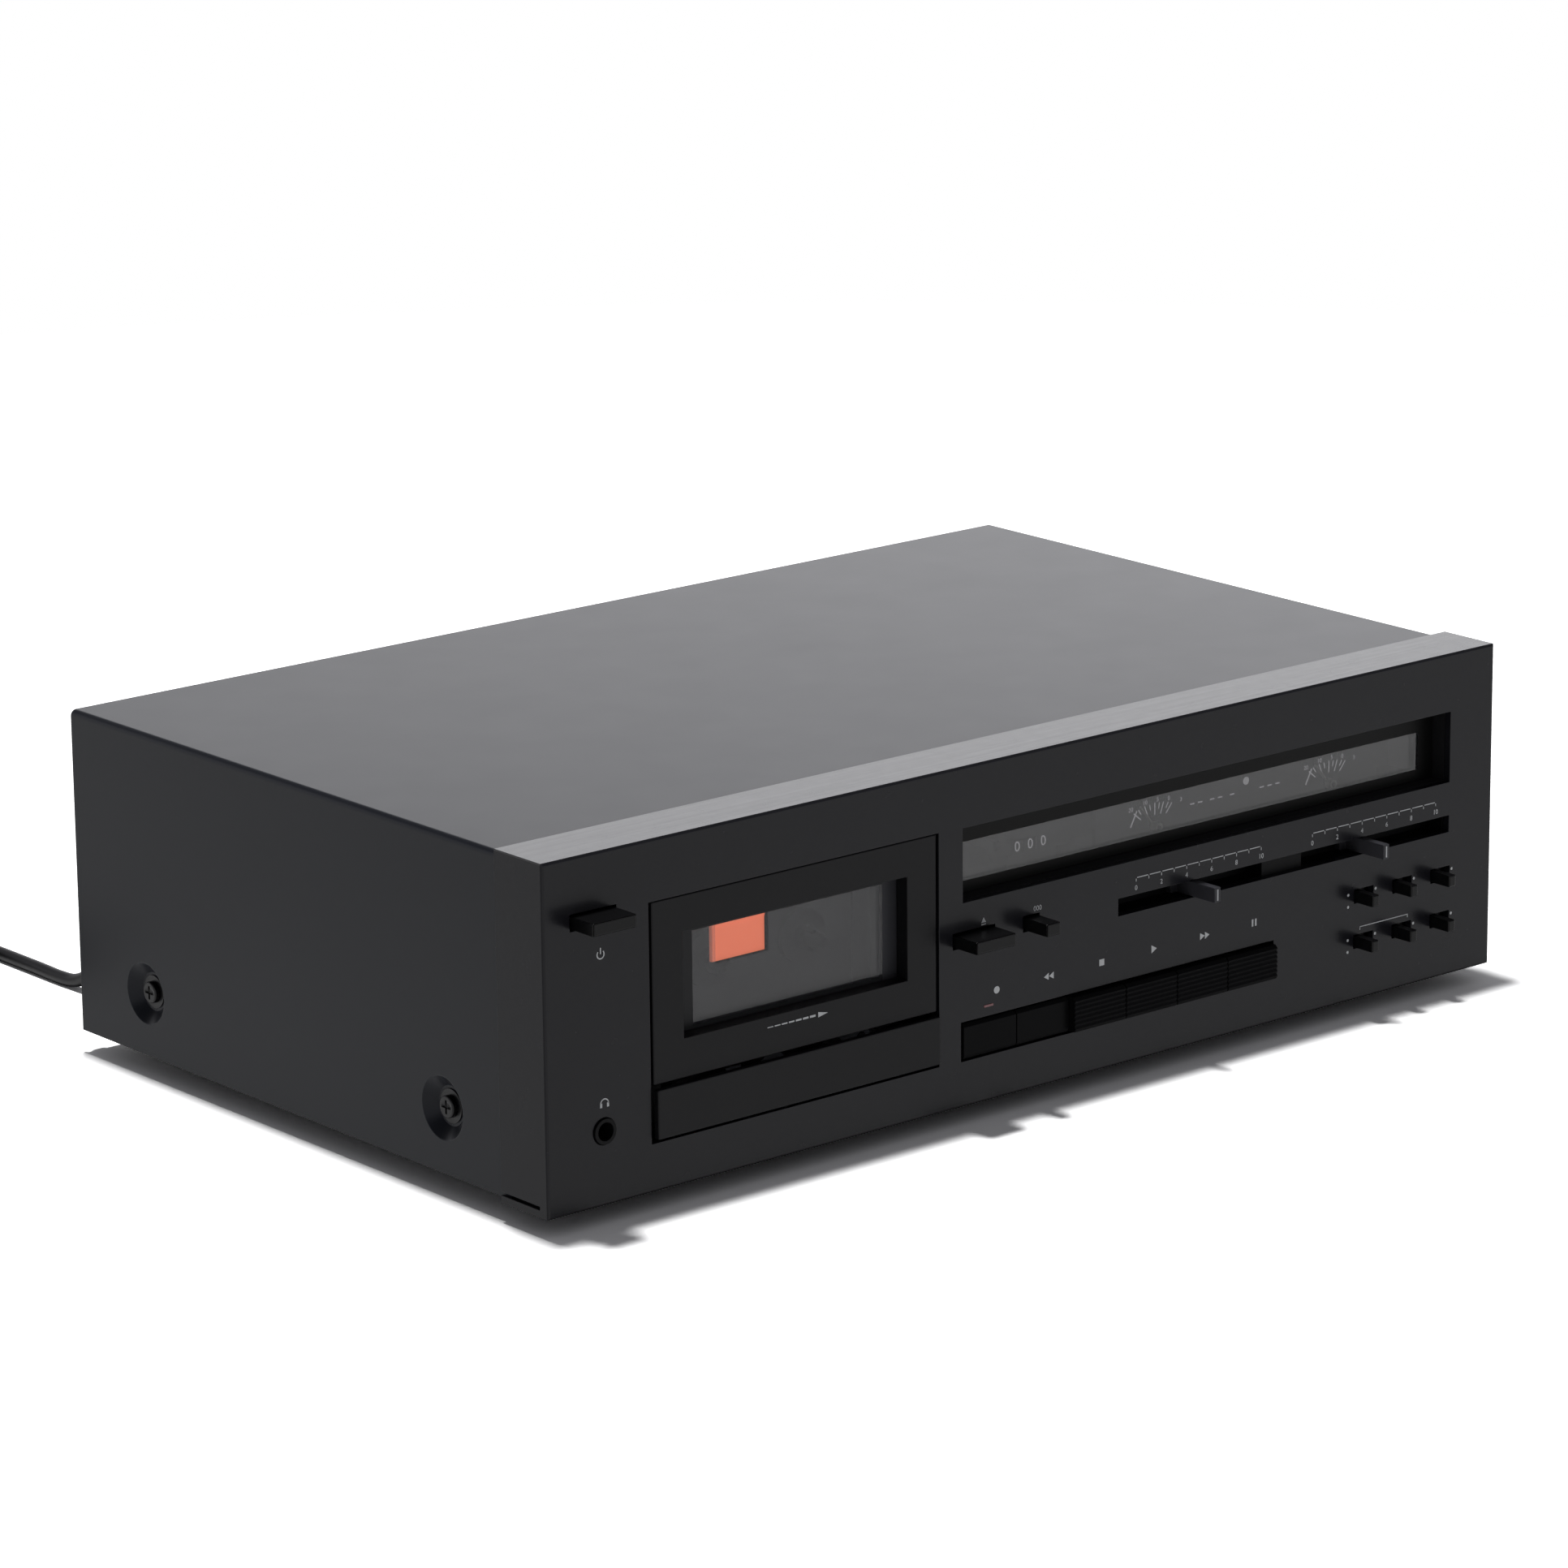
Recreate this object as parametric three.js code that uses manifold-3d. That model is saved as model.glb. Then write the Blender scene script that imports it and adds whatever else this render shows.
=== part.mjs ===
// Cassette deck: a front-loading stereo cassette recorder, built as separate pieces.
// Millimetres, +Z up, front towards -Y. The origin lies under the middle of the deck, at its soles.
// Pieces are drawn from the front panel's lower left corner: X to the right, Y back, Z up.
import * as THREE from "three";
import { mergeVertices } from "three/addons/utils/BufferGeometryUtils.js";
import Module from "manifold-3d";

const wasm = await Module();
wasm.setup();

// Whole deck
const panelWidth = 450;
const panelHeight = 124.4;
const panelDepth = 26;
const bodyDepth = 280;
const footDrop = 7;
const sheet = 1.2;
const seatGap = 0.1;
const slideGap = 0.4;
const overrun = 1.5;
const weldDistance = 0.001;

// Control field, to the right of the door
const controlGap = 10.2;
const controlMargin = 22.8;

// Front panel
const panelPlate = 3;
const panelRim = 1.3;
const panelChamfer = 0.8;
const rimGrooveRise = 2.8;
const rimGrooveHeight = 1.2;
const rimGrooveSetback = 4.7;

// Cover and its screw seats
const coverTuck = 4;
const coverGap = 0.2;
const coverRise = 1.6;
const coverBend = 2.4;
const dishRadius = 11.5;
const dishFloorRadius = 7.2;
const dishDepth = 4;
const dishRise = 25;
const dishFrontSetback = 60;
const dishRearSetback = 238;
const screwHeadRadius = 4;
const screwHeadHeight = 2.4;
const screwShankRadius = 2;
const screwLength = 8;
const screwSlotWidth = 1.1;
const screwSlotDepth = 1;

// Chassis, rear panel and feet
const chassisFlange = 9;
const tabWidth = 22;
const tabTopMargin = 7;
const ventLength = 46;
const ventWidth = 3;
const ventPitch = 8;
const ventCount = 8;
const ventInset = 90;
const footRadius = 13;
const footTaper = 1.2;
const footDishRadius = 7;
const footDishDepth = 2;
const footInsetX = 45;
const footFrontSetback = 52;
const footRearMargin = 38;

// Cassette door
const doorOpeningLeft = 44.9;
const doorOpeningWidth = 129.3;
const doorOpeningBottom = 17.4;
const doorOpeningHeight = 85.1;
const doorGap = 1.2;
const doorPlate = 3;
const headCoverHeight = 17.6;
const headCoverRise = 1.6;
const headCoverProud = 2.2;
const headCoverThickness = 2.4;
const headCoverGap = 1.4;
const windowWidth = 100.1;
const windowHeight = 37.5;
const windowRise = 14;
const windowSetback = 6;
const collarWall = 2;
const lensThickness = 1.6;
const lensLap = 2.4;
const hingeSetback = 8;
const hingeRise = 13.5;
const hingeBossRadius = 3.4;
const hingePinRadius = 2;
const armThickness = 2.4;
const armDepth = 6.4;
const tongueRise = 3;
const tongueTopDrop = 3;

// Cassette holder: a compact cassette stands in it, tape edge down
const cassetteWidth = 100.4;
const cassetteHeight = 63.8;
const cassetteThickness = 12;
const cassetteBottom = 35;
const hubRise = 34.3;
const hubSpacing = 42.5;
const pocketGap = 0.4;
const holderWall = 1.2;
const flangeReach = 8;
const flangeTopMargin = 7;
const barHeight = 5;
const barDrop = 2.5;
const blockWidth = 23.4;
const blockHeight = 12.4;
const blockDepth = 1.4;
const blockWindowLeft = 19;
const blockWindowTop = 4;

// Tape transport
const plateSetback = 24;
const plateThickness = 2;
const plateTop = 106;
const plateFootReach = 16;
const plateWing = 12;
const earThickness = 2;
const earHalfHeight = 4.4;
const spindleReach = 13.5;
const spindleTipRadius = 3.4;
const spindleHubRadius = 4.4;
const reelTableRadius = 10;
const reelTableThickness = 1.8;
const spindleShaftRadius = 2;
const splineWidth = 1.4;
const splineCount = 3;
const reelPulleyRadius = 11;
const reelPulleyThickness = 2.6;
const capstanOffset = 26.5;
const capstanRise = 7.4;
const capstanRadius = 1.3;
const flywheelRadius = 31;
const flywheelThickness = 9;
const flywheelSetback = 5;
const flywheelHubRadius = 6;
const flywheelRecess = 2.5;
const flywheelRimWidth = 6;
const bridgePlateSetback = 45;
const pillarRadius = 3;
const motorSetX = 64;
const motorDrop = 6;
const motorRadius = 17;
const motorLength = 27;
const motorShaftRadius = 1.2;
const motorShaftBite = 5;
const pulleyRadius = 5.5;
const pulleyHeight = 8;
const pulleyFlange = 1;
const beltWidth = 4;
const beltThickness = 1;
const beltGap = 0.3;
const rollerRadius = 6.4;
const rollerWidth = 8;
const rollerDrop = 15.5;
const rollerPinRadius = 1.2;
const armPlate = 1.6;
const armReach = 21;
const armHalfWidth = 4;
const armPivotRadius = 2;
const bridgeWidth = 50;
const bridgeHeight = 9;
const bridgeThickness = 8;
const bridgeTopDrop = 8;
const guidePinRadius = 1.5;
const headWidth = 13;
const headDepth = 10;
const headHeight = 6;
const headNoseRadius = 6.5;
const eraseHeadWidth = 7;
const eraseHeadOffset = 16;

// Display, counter and meters
const displayInset = 1;
const displayBottom = 75.1;
const displayHeight = 27;
const displayLensSetback = 9;
const displayLensThickness = 2;
const displayWall = 1.6;
const displayBack = 34;
const drumRadius = 7.5;
const drumWidth = 5.4;
const drumPitch = 6.2;
const drumLeft = 33;
const drumRise = 11.2;
const drumBoreRadius = 1.5;
const drumShaftRadius = 1.1;
const meterLeftShare = 0.4384;
const meterRightShare = 0.8023;
const meterCardShare = 0.1117;
const meterPivotRise = 5;
const needleLength = 11;
const needleWidth = 0.8;
const needleThickness = 0.6;
const needleHubRadius = 1.8;
const needleHubLength = 3;
const needleRestAngle = 40;
const meterPinRadius = 0.8;
const scaleCardSetback = 16;

// Push buttons
const buttonWidth = 18.5;
const buttonHeight = 4.6;
const buttonReach = 12;
const buttonStemLength = 9;
const buttonLip = 0.6;
const powerLeft = 12;
const powerBottom = 99.5;
const ejectLead = 3.1;
const ejectBottom = 59.4;
const resetGap = 14.5;
const resetWidth = 6.5;

// Transport keys
const keySlotShare = 0.6273;
const keySlotBottom = 17;
const keySlotHeight = 14.4;
const keyGap = 0.5;
const keySideGap = 1;
const keyBack = 10;
const lowKeyReach = 0.3;
const highKeyReach = 3.4;
const keyBevel = 1.2;
const keyRibDepth = 0.5;
const keyRibCount = 6;
const keyStemWidth = 6;
const keyStemHeight = 5;
const keyStemLength = 5;
const keyCount = 6;
const lowKeyCount = 2;

// Level sliders
const levelLeftShare = 0.3089;
const levelSlotBottom = 55.8;
const levelSlotHeight = 6.4;
const levelWebWidth = 20;
const levelPocketMargin = 0.8;
const levelPocketDepth = 8;
const levelKnobWidth = 3;
const levelKnobReach = 12;
const levelFootLength = 9;
const levelFootThickness = 3;
const leftKnobShare = 0.487;
const rightKnobShare = 0.3735;

// Slide switches
const switchMargin = 27;
const switchPitch = 20;
const switchTopRise = 40;
const switchRowDrop = 17.4;
const switchColumns = 3;
const switchSlotWidth = 10;
const switchSlotHeight = 5.2;
const switchKnobWidth = 3.4;
const switchKnobReach = 9.5;
const switchShieldWidth = 13.4;
const switchShieldHeight = 8;
const switchShieldThickness = 1.4;
const switchStemLength = 5;

// Control board behind the panel
const boardSetback = 15.5;
const boardThickness = 1.6;
const railHeight = 14;
const switchBodyWidth = 16;
const switchBodyHeight = 9;

// Headphone socket
const phonesX = 24.5;
const phonesRise = 26.5;
const phonesBushRadius = 4.6;
const phonesBoreRadius = 3.25;
const phonesBoreDepth = 26;
const phonesBodySize = 15;
const phonesBodyLength = 27;
const phonesProud = 0.8;

// Electronics
const mainBoardLeftShare = 0.4;
const mainBoardShare = 1 / 3;
const mainBoardFront = 90;
const mainBoardRearGap = 27.6;
const mainBoardRise = 12;
const standoffRadius = 3.5;
const standoffInset = 9;
const capacitorRadius = 9;
const capacitorHeight = 28;
const capacitorPitch = 24;
const capacitorCount = 3;
const heatsinkWidth = 46;
const heatsinkDepth = 12;
const heatsinkHeight = 40;
const coreWidth = 62;
const coreDepth = 30;
const coreHeight = 52;
const windingWidth = 42;
const windingDepth = 46;
const windingHeight = 34;
const coreFootReach = 9;
const coreFootThickness = 2;
const transformerMargin = 26;
const transformerFront = 150;

// Rear sockets
const socketPitch = 18;
const socketCount = 4;
const socketMargin = 50;
const socketRise = 60;
const socketRadius = 4.1;
const socketReach = 9;
const socketPinRadius = 1.7;
const socketCollarRadius = 6.2;
const socketCollar = 1.6;
const socketPlateHeight = 22;
const socketPlateMargin = 12;
const socketPlateThickness = 5;

// Mains lead
const leadDiameter = 5.2;
const reliefX = 46;
const reliefRise = 20;
const reliefFlangeRadius = 8;
const reliefFlange = 2;
const reliefRootRadius = 5.6;
const reliefTipRadius = 3.6;
const reliefLength = 24;
const reliefNeckRadius = 5;
const reliefNutRadius = 7.5;
const reliefNut = 4;
const meetGap = 0.3;
const leadStub = 6;
const leadBend = 24;
const leadSides = 8;
const leadSteps = 30;
const leadBendSteps = 5;
const leadFloorSteps = 4;
const coilTurns = 4;
const coilStepsPerTurn = 24;
const coilSides = 6;
const coilPitch = 5.75;
const coilCentreX = 0.9;
const coilCentreY = 432;
const coilRadius = 42.6;
const coilTail = 34;
const soleClearance = 0.05;
const plugLength = 30;
const plugWidth = 22;
const plugTipWidth = 15;
const plugHeight = 16;
const bladeLength = 16;
const bladeWidth = 6.3;
const bladeThickness = 1.5;
const bladeSpacing = 12.7;

const roundSides = 32;
const smallSides = 20;
const bendSteps = 5;
const gapSamples = 6;

// Colours, roughness and metalness
const finishes = {
  panel: { color: 0x242426, roughness: 0.5, metalness: 0.1 },
  cover: { color: 0x303134, roughness: 0.42, metalness: 0.2 },
  trim: { color: 0x1b1b1d, roughness: 0.45, metalness: 0.1 },
  knob: { color: 0x161617, roughness: 0.35, metalness: 0.1 },
  lens: { color: 0x2a2a2c, roughness: 0.08, metalness: 0 },
  screw: { color: 0x1d1d1f, roughness: 0.3, metalness: 0.8 },
  rubber: { color: 0x101010, roughness: 0.85, metalness: 0 },
  steel: { color: 0xa9abad, roughness: 0.35, metalness: 0.9 },
  bright: { color: 0xd5d6d8, roughness: 0.2, metalness: 1 },
  brass: { color: 0xb08d4a, roughness: 0.35, metalness: 0.9 },
  board: { color: 0x7a5a2c, roughness: 0.6, metalness: 0 },
  white: { color: 0xe6e4dc, roughness: 0.5, metalness: 0 },
  orange: { color: 0xe8603c, roughness: 0.45, metalness: 0 },
  lead: { color: 0x141414, roughness: 0.4, metalness: 0 },
};

// Worked-out places
const coverInset = panelRim + coverGap;
const coverTop = panelHeight - coverInset;
const innerLeft = coverInset + sheet + coverGap;
const innerRight = panelWidth - innerLeft;
const floorBottom = panelRim + coverGap;
const floorTop = floorBottom + sheet;
const panelBack = panelPlate + seatGap;
const rearPanelBack = bodyDepth - sheet;
const rearPanelFront = rearPanelBack - sheet;
const controlReach = Math.max(buttonReach, levelKnobReach, switchKnobReach, highKeyReach, headCoverProud);
const frontY = (controlReach - bodyDepth - socketReach) / 2;
const doorCentreX = doorOpeningLeft + doorOpeningWidth / 2;
const doorLeft = doorOpeningLeft + doorGap;
const doorRight = doorOpeningLeft + doorOpeningWidth - doorGap;
const headCoverBottom = doorOpeningBottom + headCoverRise;
const headCoverTop = headCoverBottom + headCoverHeight;
const doorBottom = headCoverTop + headCoverGap;
const doorTop = doorOpeningBottom + doorOpeningHeight - doorGap;
const windowLeft = doorCentreX - windowWidth / 2;
const windowRight = doorCentreX + windowWidth / 2;
const windowBottom = doorBottom + windowRise;
const windowTop = windowBottom + windowHeight;
const lensFront = windowSetback + seatGap;
const lensBack = lensFront + lensThickness;
const pocketLeft = doorCentreX - cassetteWidth / 2 - pocketGap;
const pocketRight = doorCentreX + cassetteWidth / 2 + pocketGap;
const pocketFront = lensBack + pocketGap;
const pocketBack = pocketFront + cassetteThickness + pocketGap;
const plateBack = plateSetback + plateThickness;
const plateLeft = pocketLeft - plateWing;
const plateRight = pocketRight + plateWing;
const hubZ = cassetteBottom + hubRise;
const supplyX = doorCentreX - hubSpacing / 2;
const takeupX = doorCentreX + hubSpacing / 2;
const capstanX = doorCentreX + capstanOffset;
const capstanZ = cassetteBottom + capstanRise;
const motorX = capstanX - motorSetX;
const motorZ = capstanZ - motorDrop;
const boardBack = boardSetback + boardThickness;
const controlLeft = doorOpeningLeft + doorOpeningWidth + controlGap;
const controlWidth = panelWidth - controlMargin - controlLeft;
const displayLeft = controlLeft + displayInset;
const displayWidth = controlWidth - displayInset;
const meterOffsets = { left: displayWidth * meterLeftShare, right: displayWidth * meterRightShare };
const ejectLeft = controlLeft - ejectLead;
const resetLeft = ejectLeft + buttonWidth + resetGap;
const keySlotLeft = controlLeft;
const keySlotWidth = controlWidth * keySlotShare;
const levelSlotLeft = controlLeft + controlWidth * levelLeftShare;
const levelSlotWidth = controlWidth * (1 - levelLeftShare);
const switchLeftCentre = panelWidth - switchMargin - switchPitch * (switchColumns - 1);
const mainBoardLeft = panelWidth * mainBoardLeftShare;
const mainBoardWidth = panelWidth * mainBoardShare;
const mainBoardBack = rearPanelFront - mainBoardRearGap;
const transformerLeft = panelWidth - transformerMargin - coreWidth;
const socketRight = panelWidth - socketMargin;
const switchTravel = switchSlotWidth - switchKnobWidth - slideGap * 2;
const soleZ = -footDrop + soleClearance;
const leadAxisZ = soleZ + leadDiameter / 2;
const leadShift = coilCentreX + coilRadius - reliefX;

// Solids: every shape is closed, merged at its shared vertices and turned face out
function signedVolume(position, index) {
  const a = new THREE.Vector3();
  const b = new THREE.Vector3();
  const c = new THREE.Vector3();
  let total = 0;
  for (let i = 0; i < index.length; i += 3) {
    a.fromBufferAttribute(position, index[i]);
    b.fromBufferAttribute(position, index[i + 1]);
    c.fromBufferAttribute(position, index[i + 2]);
    total += a.dot(b.cross(c));
  }
  return total;
}

function solidOf(geometry) {
  const bare = new THREE.BufferGeometry();
  bare.setAttribute("position", geometry.getAttribute("position"));
  bare.setIndex(geometry.index);
  const merged = mergeVertices(bare, weldDistance);
  const position = merged.getAttribute("position");
  const corners = Array.from(merged.index.array);
  let faces = [];
  for (let i = 0; i < corners.length; i += 3) {
    const [a, b, c] = corners.slice(i, i + 3);
    if (a !== b && b !== c && c !== a) faces.push(a, b, c);
  }
  if (signedVolume(position, faces) < 0) faces = faces.reverse();
  const vertProperties = Float32Array.from(position.array);
  const triVerts = Uint32Array.from(faces);
  return new wasm.Manifold(new wasm.Mesh({ numProp: 3, vertProperties, triVerts }));
}

function joined(...solids) {
  return solids.reduce((whole, piece) => whole.add(piece));
}

function cutBy(solid, ...tools) {
  return tools.reduce((rest, tool) => rest.subtract(tool), solid);
}

function geometryOf(solid) {
  const mesh = solid.getMesh();
  const geometry = new THREE.BufferGeometry();
  geometry.setAttribute("position", new THREE.BufferAttribute(mesh.vertProperties, 3));
  geometry.setIndex(new THREE.BufferAttribute(mesh.triVerts, 1));
  geometry.computeVertexNormals();
  return geometry;
}

const deck = new THREE.Group();
deck.position.set(-panelWidth / 2, frontY, footDrop);

function place(name, solid, finish) {
  const mesh = new THREE.Mesh(geometryOf(solid), new THREE.MeshStandardMaterial(finishes[finish]));
  mesh.name = name;
  deck.add(mesh);
}

function ordered(a, b) {
  return a < b ? [a, b] : [b, a];
}

// Shapes by their faces: x from a to b, y from a to b, z from a to b
function block([x0, x1], [y0, y1], [z0, z1]) {
  const geometry = new THREE.BoxGeometry(x1 - x0, y1 - y0, z1 - z0);
  geometry.translate((x0 + x1) / 2, (y0 + y1) / 2, (z0 + z1) / 2);
  return solidOf(geometry);
}

// A round along each axis, about a centre given in the two other coordinates
function roundAlongY(x, z, radius, [y0, y1], sides = smallSides) {
  const geometry = new THREE.CylinderGeometry(radius, radius, y1 - y0, sides);
  geometry.translate(x, (y0 + y1) / 2, z);
  return solidOf(geometry);
}

function roundAlongX(y, z, radius, [x0, x1], sides = smallSides) {
  const geometry = new THREE.CylinderGeometry(radius, radius, x1 - x0, sides);
  geometry.rotateZ(-Math.PI / 2);
  geometry.translate((x0 + x1) / 2, y, z);
  return solidOf(geometry);
}

function roundAlongZ(x, y, radius, [z0, z1], sides = smallSides) {
  const geometry = new THREE.CylinderGeometry(radius, radius, z1 - z0, sides);
  geometry.rotateX(Math.PI / 2);
  geometry.translate(x, y, (z0 + z1) / 2);
  return solidOf(geometry);
}

// A turned shape about an axis along Y: points are [radius, y], and the outline starts and ends on the axis
function turnedAlongY(x, z, outline, sides = roundSides) {
  const geometry = new THREE.LatheGeometry(outline.map(([r, y]) => new THREE.Vector2(r, y)), sides);
  geometry.translate(x, 0, z);
  return solidOf(geometry);
}

// A turned shape about an axis along X: points are [radius, x]
function turnedAlongX(y, z, outline, sides = roundSides) {
  const geometry = new THREE.LatheGeometry(outline.map(([r, x]) => new THREE.Vector2(r, x)), sides);
  geometry.rotateZ(-Math.PI / 2);
  geometry.translate(0, y, z);
  return solidOf(geometry);
}

// An outline in X and Z, drawn back along Y, with its corners as [x, z]
function drawnAlongY(outline, [y0, y1]) {
  const isShape = outline instanceof THREE.Shape;
  const shape = isShape ? outline : new THREE.Shape(outline.map(([x, z]) => new THREE.Vector2(x, z)));
  const geometry = new THREE.ExtrudeGeometry(shape, {
    depth: y1 - y0,
    bevelEnabled: false,
    curveSegments: bendSteps,
  });
  geometry.rotateX(Math.PI / 2);
  geometry.translate(0, y1, 0);
  return solidOf(geometry);
}

// An outline in Y and Z, drawn along X, with its corners as [y, z]
function drawnAlongX(outline, [x0, x1]) {
  const shape = new THREE.Shape(outline.map(([y, z]) => new THREE.Vector2(y, z)));
  const geometry = new THREE.ExtrudeGeometry(shape, { depth: x1 - x0, bevelEnabled: false });
  const turn = new THREE.Matrix4().makeBasis(
    new THREE.Vector3(0, 1, 0),
    new THREE.Vector3(0, 0, 1),
    new THREE.Vector3(1, 0, 0),
  );
  geometry.applyMatrix4(turn);
  geometry.translate(x0, 0, 0);
  return solidOf(geometry);
}

// A face with a chamfer all round its front edge, from its front at y0 back to y1
function chamferedBlock([x0, x1], [y0, y1], [z0, z1], chamfer) {
  const body = block([x0, x1], [y0, y1], [z0, z1]);
  const side = (x, out) =>
    drawnAlongZ(
      [
        [x - out * chamfer, y0 - overrun],
        [x + out * overrun, y0 - overrun],
        [x + out * overrun, y0 + chamfer + overrun],
        [x, y0 + chamfer],
        [x - out * chamfer, y0],
      ],
      [z0 - overrun, z1 + overrun],
    );
  const edge = (z, out) =>
    drawnAlongX(
      [
        [y0 - overrun, z - out * chamfer],
        [y0 - overrun, z + out * overrun],
        [y0 + chamfer + overrun, z + out * overrun],
        [y0 + chamfer, z],
        [y0, z - out * chamfer],
      ],
      [x0 - overrun, x1 + overrun],
    );
  return cutBy(body, side(x0, -1), side(x1, 1), edge(z0, -1), edge(z1, 1));
}

// An outline in X and Y, drawn up along Z, with its corners as [x, y]
function drawnAlongZ(outline, [z0, z1]) {
  const shape = new THREE.Shape(outline.map(([x, y]) => new THREE.Vector2(x, y)));
  const geometry = new THREE.ExtrudeGeometry(shape, { depth: z1 - z0, bevelEnabled: false });
  geometry.translate(0, 0, z0);
  return solidOf(geometry);
}

// Openings in the front panel, which the pieces behind it share
const through = [-overrun, panelPlate + overrun];
const displayRight = displayLeft + displayWidth;
const displayTop = displayBottom + displayHeight;
const levelSlotRight = levelSlotLeft + levelSlotWidth;
const levelSlotTop = levelSlotBottom + levelSlotHeight;
const keySlotRight = keySlotLeft + keySlotWidth;
const keySlotTop = keySlotBottom + keySlotHeight;

function switchCentre(number) {
  const column = number % switchColumns;
  const row = Math.floor(number / switchColumns);
  return [switchLeftCentre + column * switchPitch, switchTopRise - row * switchRowDrop];
}

const switchNumbers = Array.from({ length: switchColumns * 2 }, (_, number) => number);

function buttonHole(left, width, bottom) {
  const hole = [left - buttonLip, left + width + buttonLip];
  return block(hole, through, [bottom - buttonLip, bottom + buttonHeight + buttonLip]);
}

// Front panel: a moulded frame with a plate in front and a rim that reaches back over the cover
function makeFrontPanel() {
  const outer = chamferedBlock([0, panelWidth], [0, panelDepth], [0, panelHeight], panelChamfer);
  const hollow = block(
    [panelRim, panelWidth - panelRim],
    [panelPlate, panelDepth + overrun],
    [panelRim, panelHeight - panelRim],
  );
  const doorOpening = block(
    [doorOpeningLeft, doorOpeningLeft + doorOpeningWidth],
    through,
    [doorOpeningBottom, doorOpeningBottom + doorOpeningHeight],
  );
  const displayOpening = block([displayLeft, displayRight], through, [displayBottom, displayTop]);
  const levelSlot = block([levelSlotLeft, levelSlotRight], through, [levelSlotBottom, levelSlotTop]);
  const keySlot = block([keySlotLeft, keySlotRight], through, [keySlotBottom, keySlotTop]);
  const switchSlots = switchNumbers.map((number) => {
    const [x, z] = switchCentre(number);
    return block(
      [x - switchSlotWidth / 2, x + switchSlotWidth / 2],
      through,
      [z - switchSlotHeight / 2, z + switchSlotHeight / 2],
    );
  });
  const phonesHole = roundAlongY(phonesX, phonesRise, phonesBushRadius + coverGap, through, roundSides);
  const groove = [rimGrooveRise, rimGrooveRise + rimGrooveHeight];
  const grooveRun = [rimGrooveSetback, panelDepth + overrun];
  const panel = cutBy(
    outer,
    hollow,
    doorOpening,
    displayOpening,
    levelSlot,
    keySlot,
    phonesHole,
    buttonHole(powerLeft, buttonWidth, powerBottom),
    buttonHole(ejectLeft, buttonWidth, ejectBottom),
    buttonHole(resetLeft, resetWidth, ejectBottom),
    block([-overrun, panelRim + overrun], grooveRun, groove),
    block([panelWidth - panelRim - overrun, panelWidth + overrun], grooveRun, groove),
    ...switchSlots,
  );
  place("front_panel", panel, "panel");
}

// Cover: one folded sheet with rounded bends, whose sides have dished seats for its screws
const dishPlaces = [dishFrontSetback, dishRearSetback];

function makeCover() {
  const left = coverInset;
  const right = panelWidth - coverInset;
  const profile = new THREE.Shape();
  profile.moveTo(left, coverRise);
  profile.lineTo(left, coverTop - coverBend);
  profile.absarc(left + coverBend, coverTop - coverBend, coverBend, Math.PI, Math.PI / 2, true);
  profile.lineTo(right - coverBend, coverTop);
  profile.absarc(right - coverBend, coverTop - coverBend, coverBend, Math.PI / 2, 0, true);
  profile.lineTo(right, coverRise);
  profile.lineTo(right - sheet, coverRise);
  profile.lineTo(right - sheet, coverTop - coverBend);
  profile.absarc(right - coverBend, coverTop - coverBend, coverBend - sheet, 0, Math.PI / 2, false);
  profile.lineTo(left + coverBend, coverTop - sheet);
  profile.absarc(left + coverBend, coverTop - coverBend, coverBend - sheet, Math.PI / 2, Math.PI, false);
  profile.lineTo(left + sheet, coverRise);
  let cover = drawnAlongY(profile, [panelDepth - coverTuck, bodyDepth]);
  const slant = dishRadius - dishFloorRadius;
  for (const y of dishPlaces) {
    for (const [face, inward] of [
      [left, 1],
      [right, -1],
    ]) {
      const hollow = turnedAlongX(y, dishRise, [
        [0, face - inward * overrun],
        [dishRadius, face - inward * overrun],
        [dishRadius, face],
        [dishFloorRadius, face + inward * dishDepth],
        [0, face + inward * dishDepth],
      ]);
      const cup = turnedAlongX(y, dishRise, [
        [0, face + (inward * sheet) / 2],
        [dishRadius + (sheet * slant) / dishDepth, face + (inward * sheet) / 2],
        [dishFloorRadius + sheet, face + inward * (dishDepth + sheet)],
        [0, face + inward * (dishDepth + sheet)],
      ]);
      const hole = roundAlongX(y, dishRise, screwShankRadius + coverGap, [
        face - overrun,
        face + inward * (dishDepth + sheet + overrun),
      ].sort((a, b) => a - b));
      cover = cutBy(joined(cover, cup), hollow, hole);
    }
  }
  place("top_cover", cover, "cover");
}

// A cover screw: pan head with a slot, and a shank into the chassis tab
function makeCoverScrews() {
  const sides = [
    ["left", coverInset, 1],
    ["right", panelWidth - coverInset, -1],
  ];
  for (const [side, face, inward] of sides) {
    dishPlaces.forEach((y, number) => {
      const seat = face + inward * (dishDepth - seatGap);
      const head = seat - inward * screwHeadHeight;
      const body = turnedAlongX(
        y,
        dishRise,
        [
          [0, head],
          [screwHeadRadius - screwSlotDepth, head],
          [screwHeadRadius, head + inward * screwSlotDepth],
          [screwHeadRadius, seat],
          [screwShankRadius, seat],
          [screwShankRadius, seat + inward * screwLength],
          [0, seat + inward * screwLength],
        ],
        smallSides,
      );
      const slotRun = [head - overrun, head + inward * screwSlotDepth].sort((a, b) => a - b);
      const slotSpan = inward > 0 ? slotRun : [head + inward * screwSlotDepth, head + overrun];
      const slot = block(
        slotSpan,
        [y - screwSlotWidth / 2, y + screwSlotWidth / 2],
        [dishRise - screwHeadRadius - overrun, dishRise + screwHeadRadius + overrun],
      );
      place(`cover_screw_${side}_${number ? "rear" : "front"}`, cutBy(body, slot), "screw");
    });
  }
}

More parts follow.
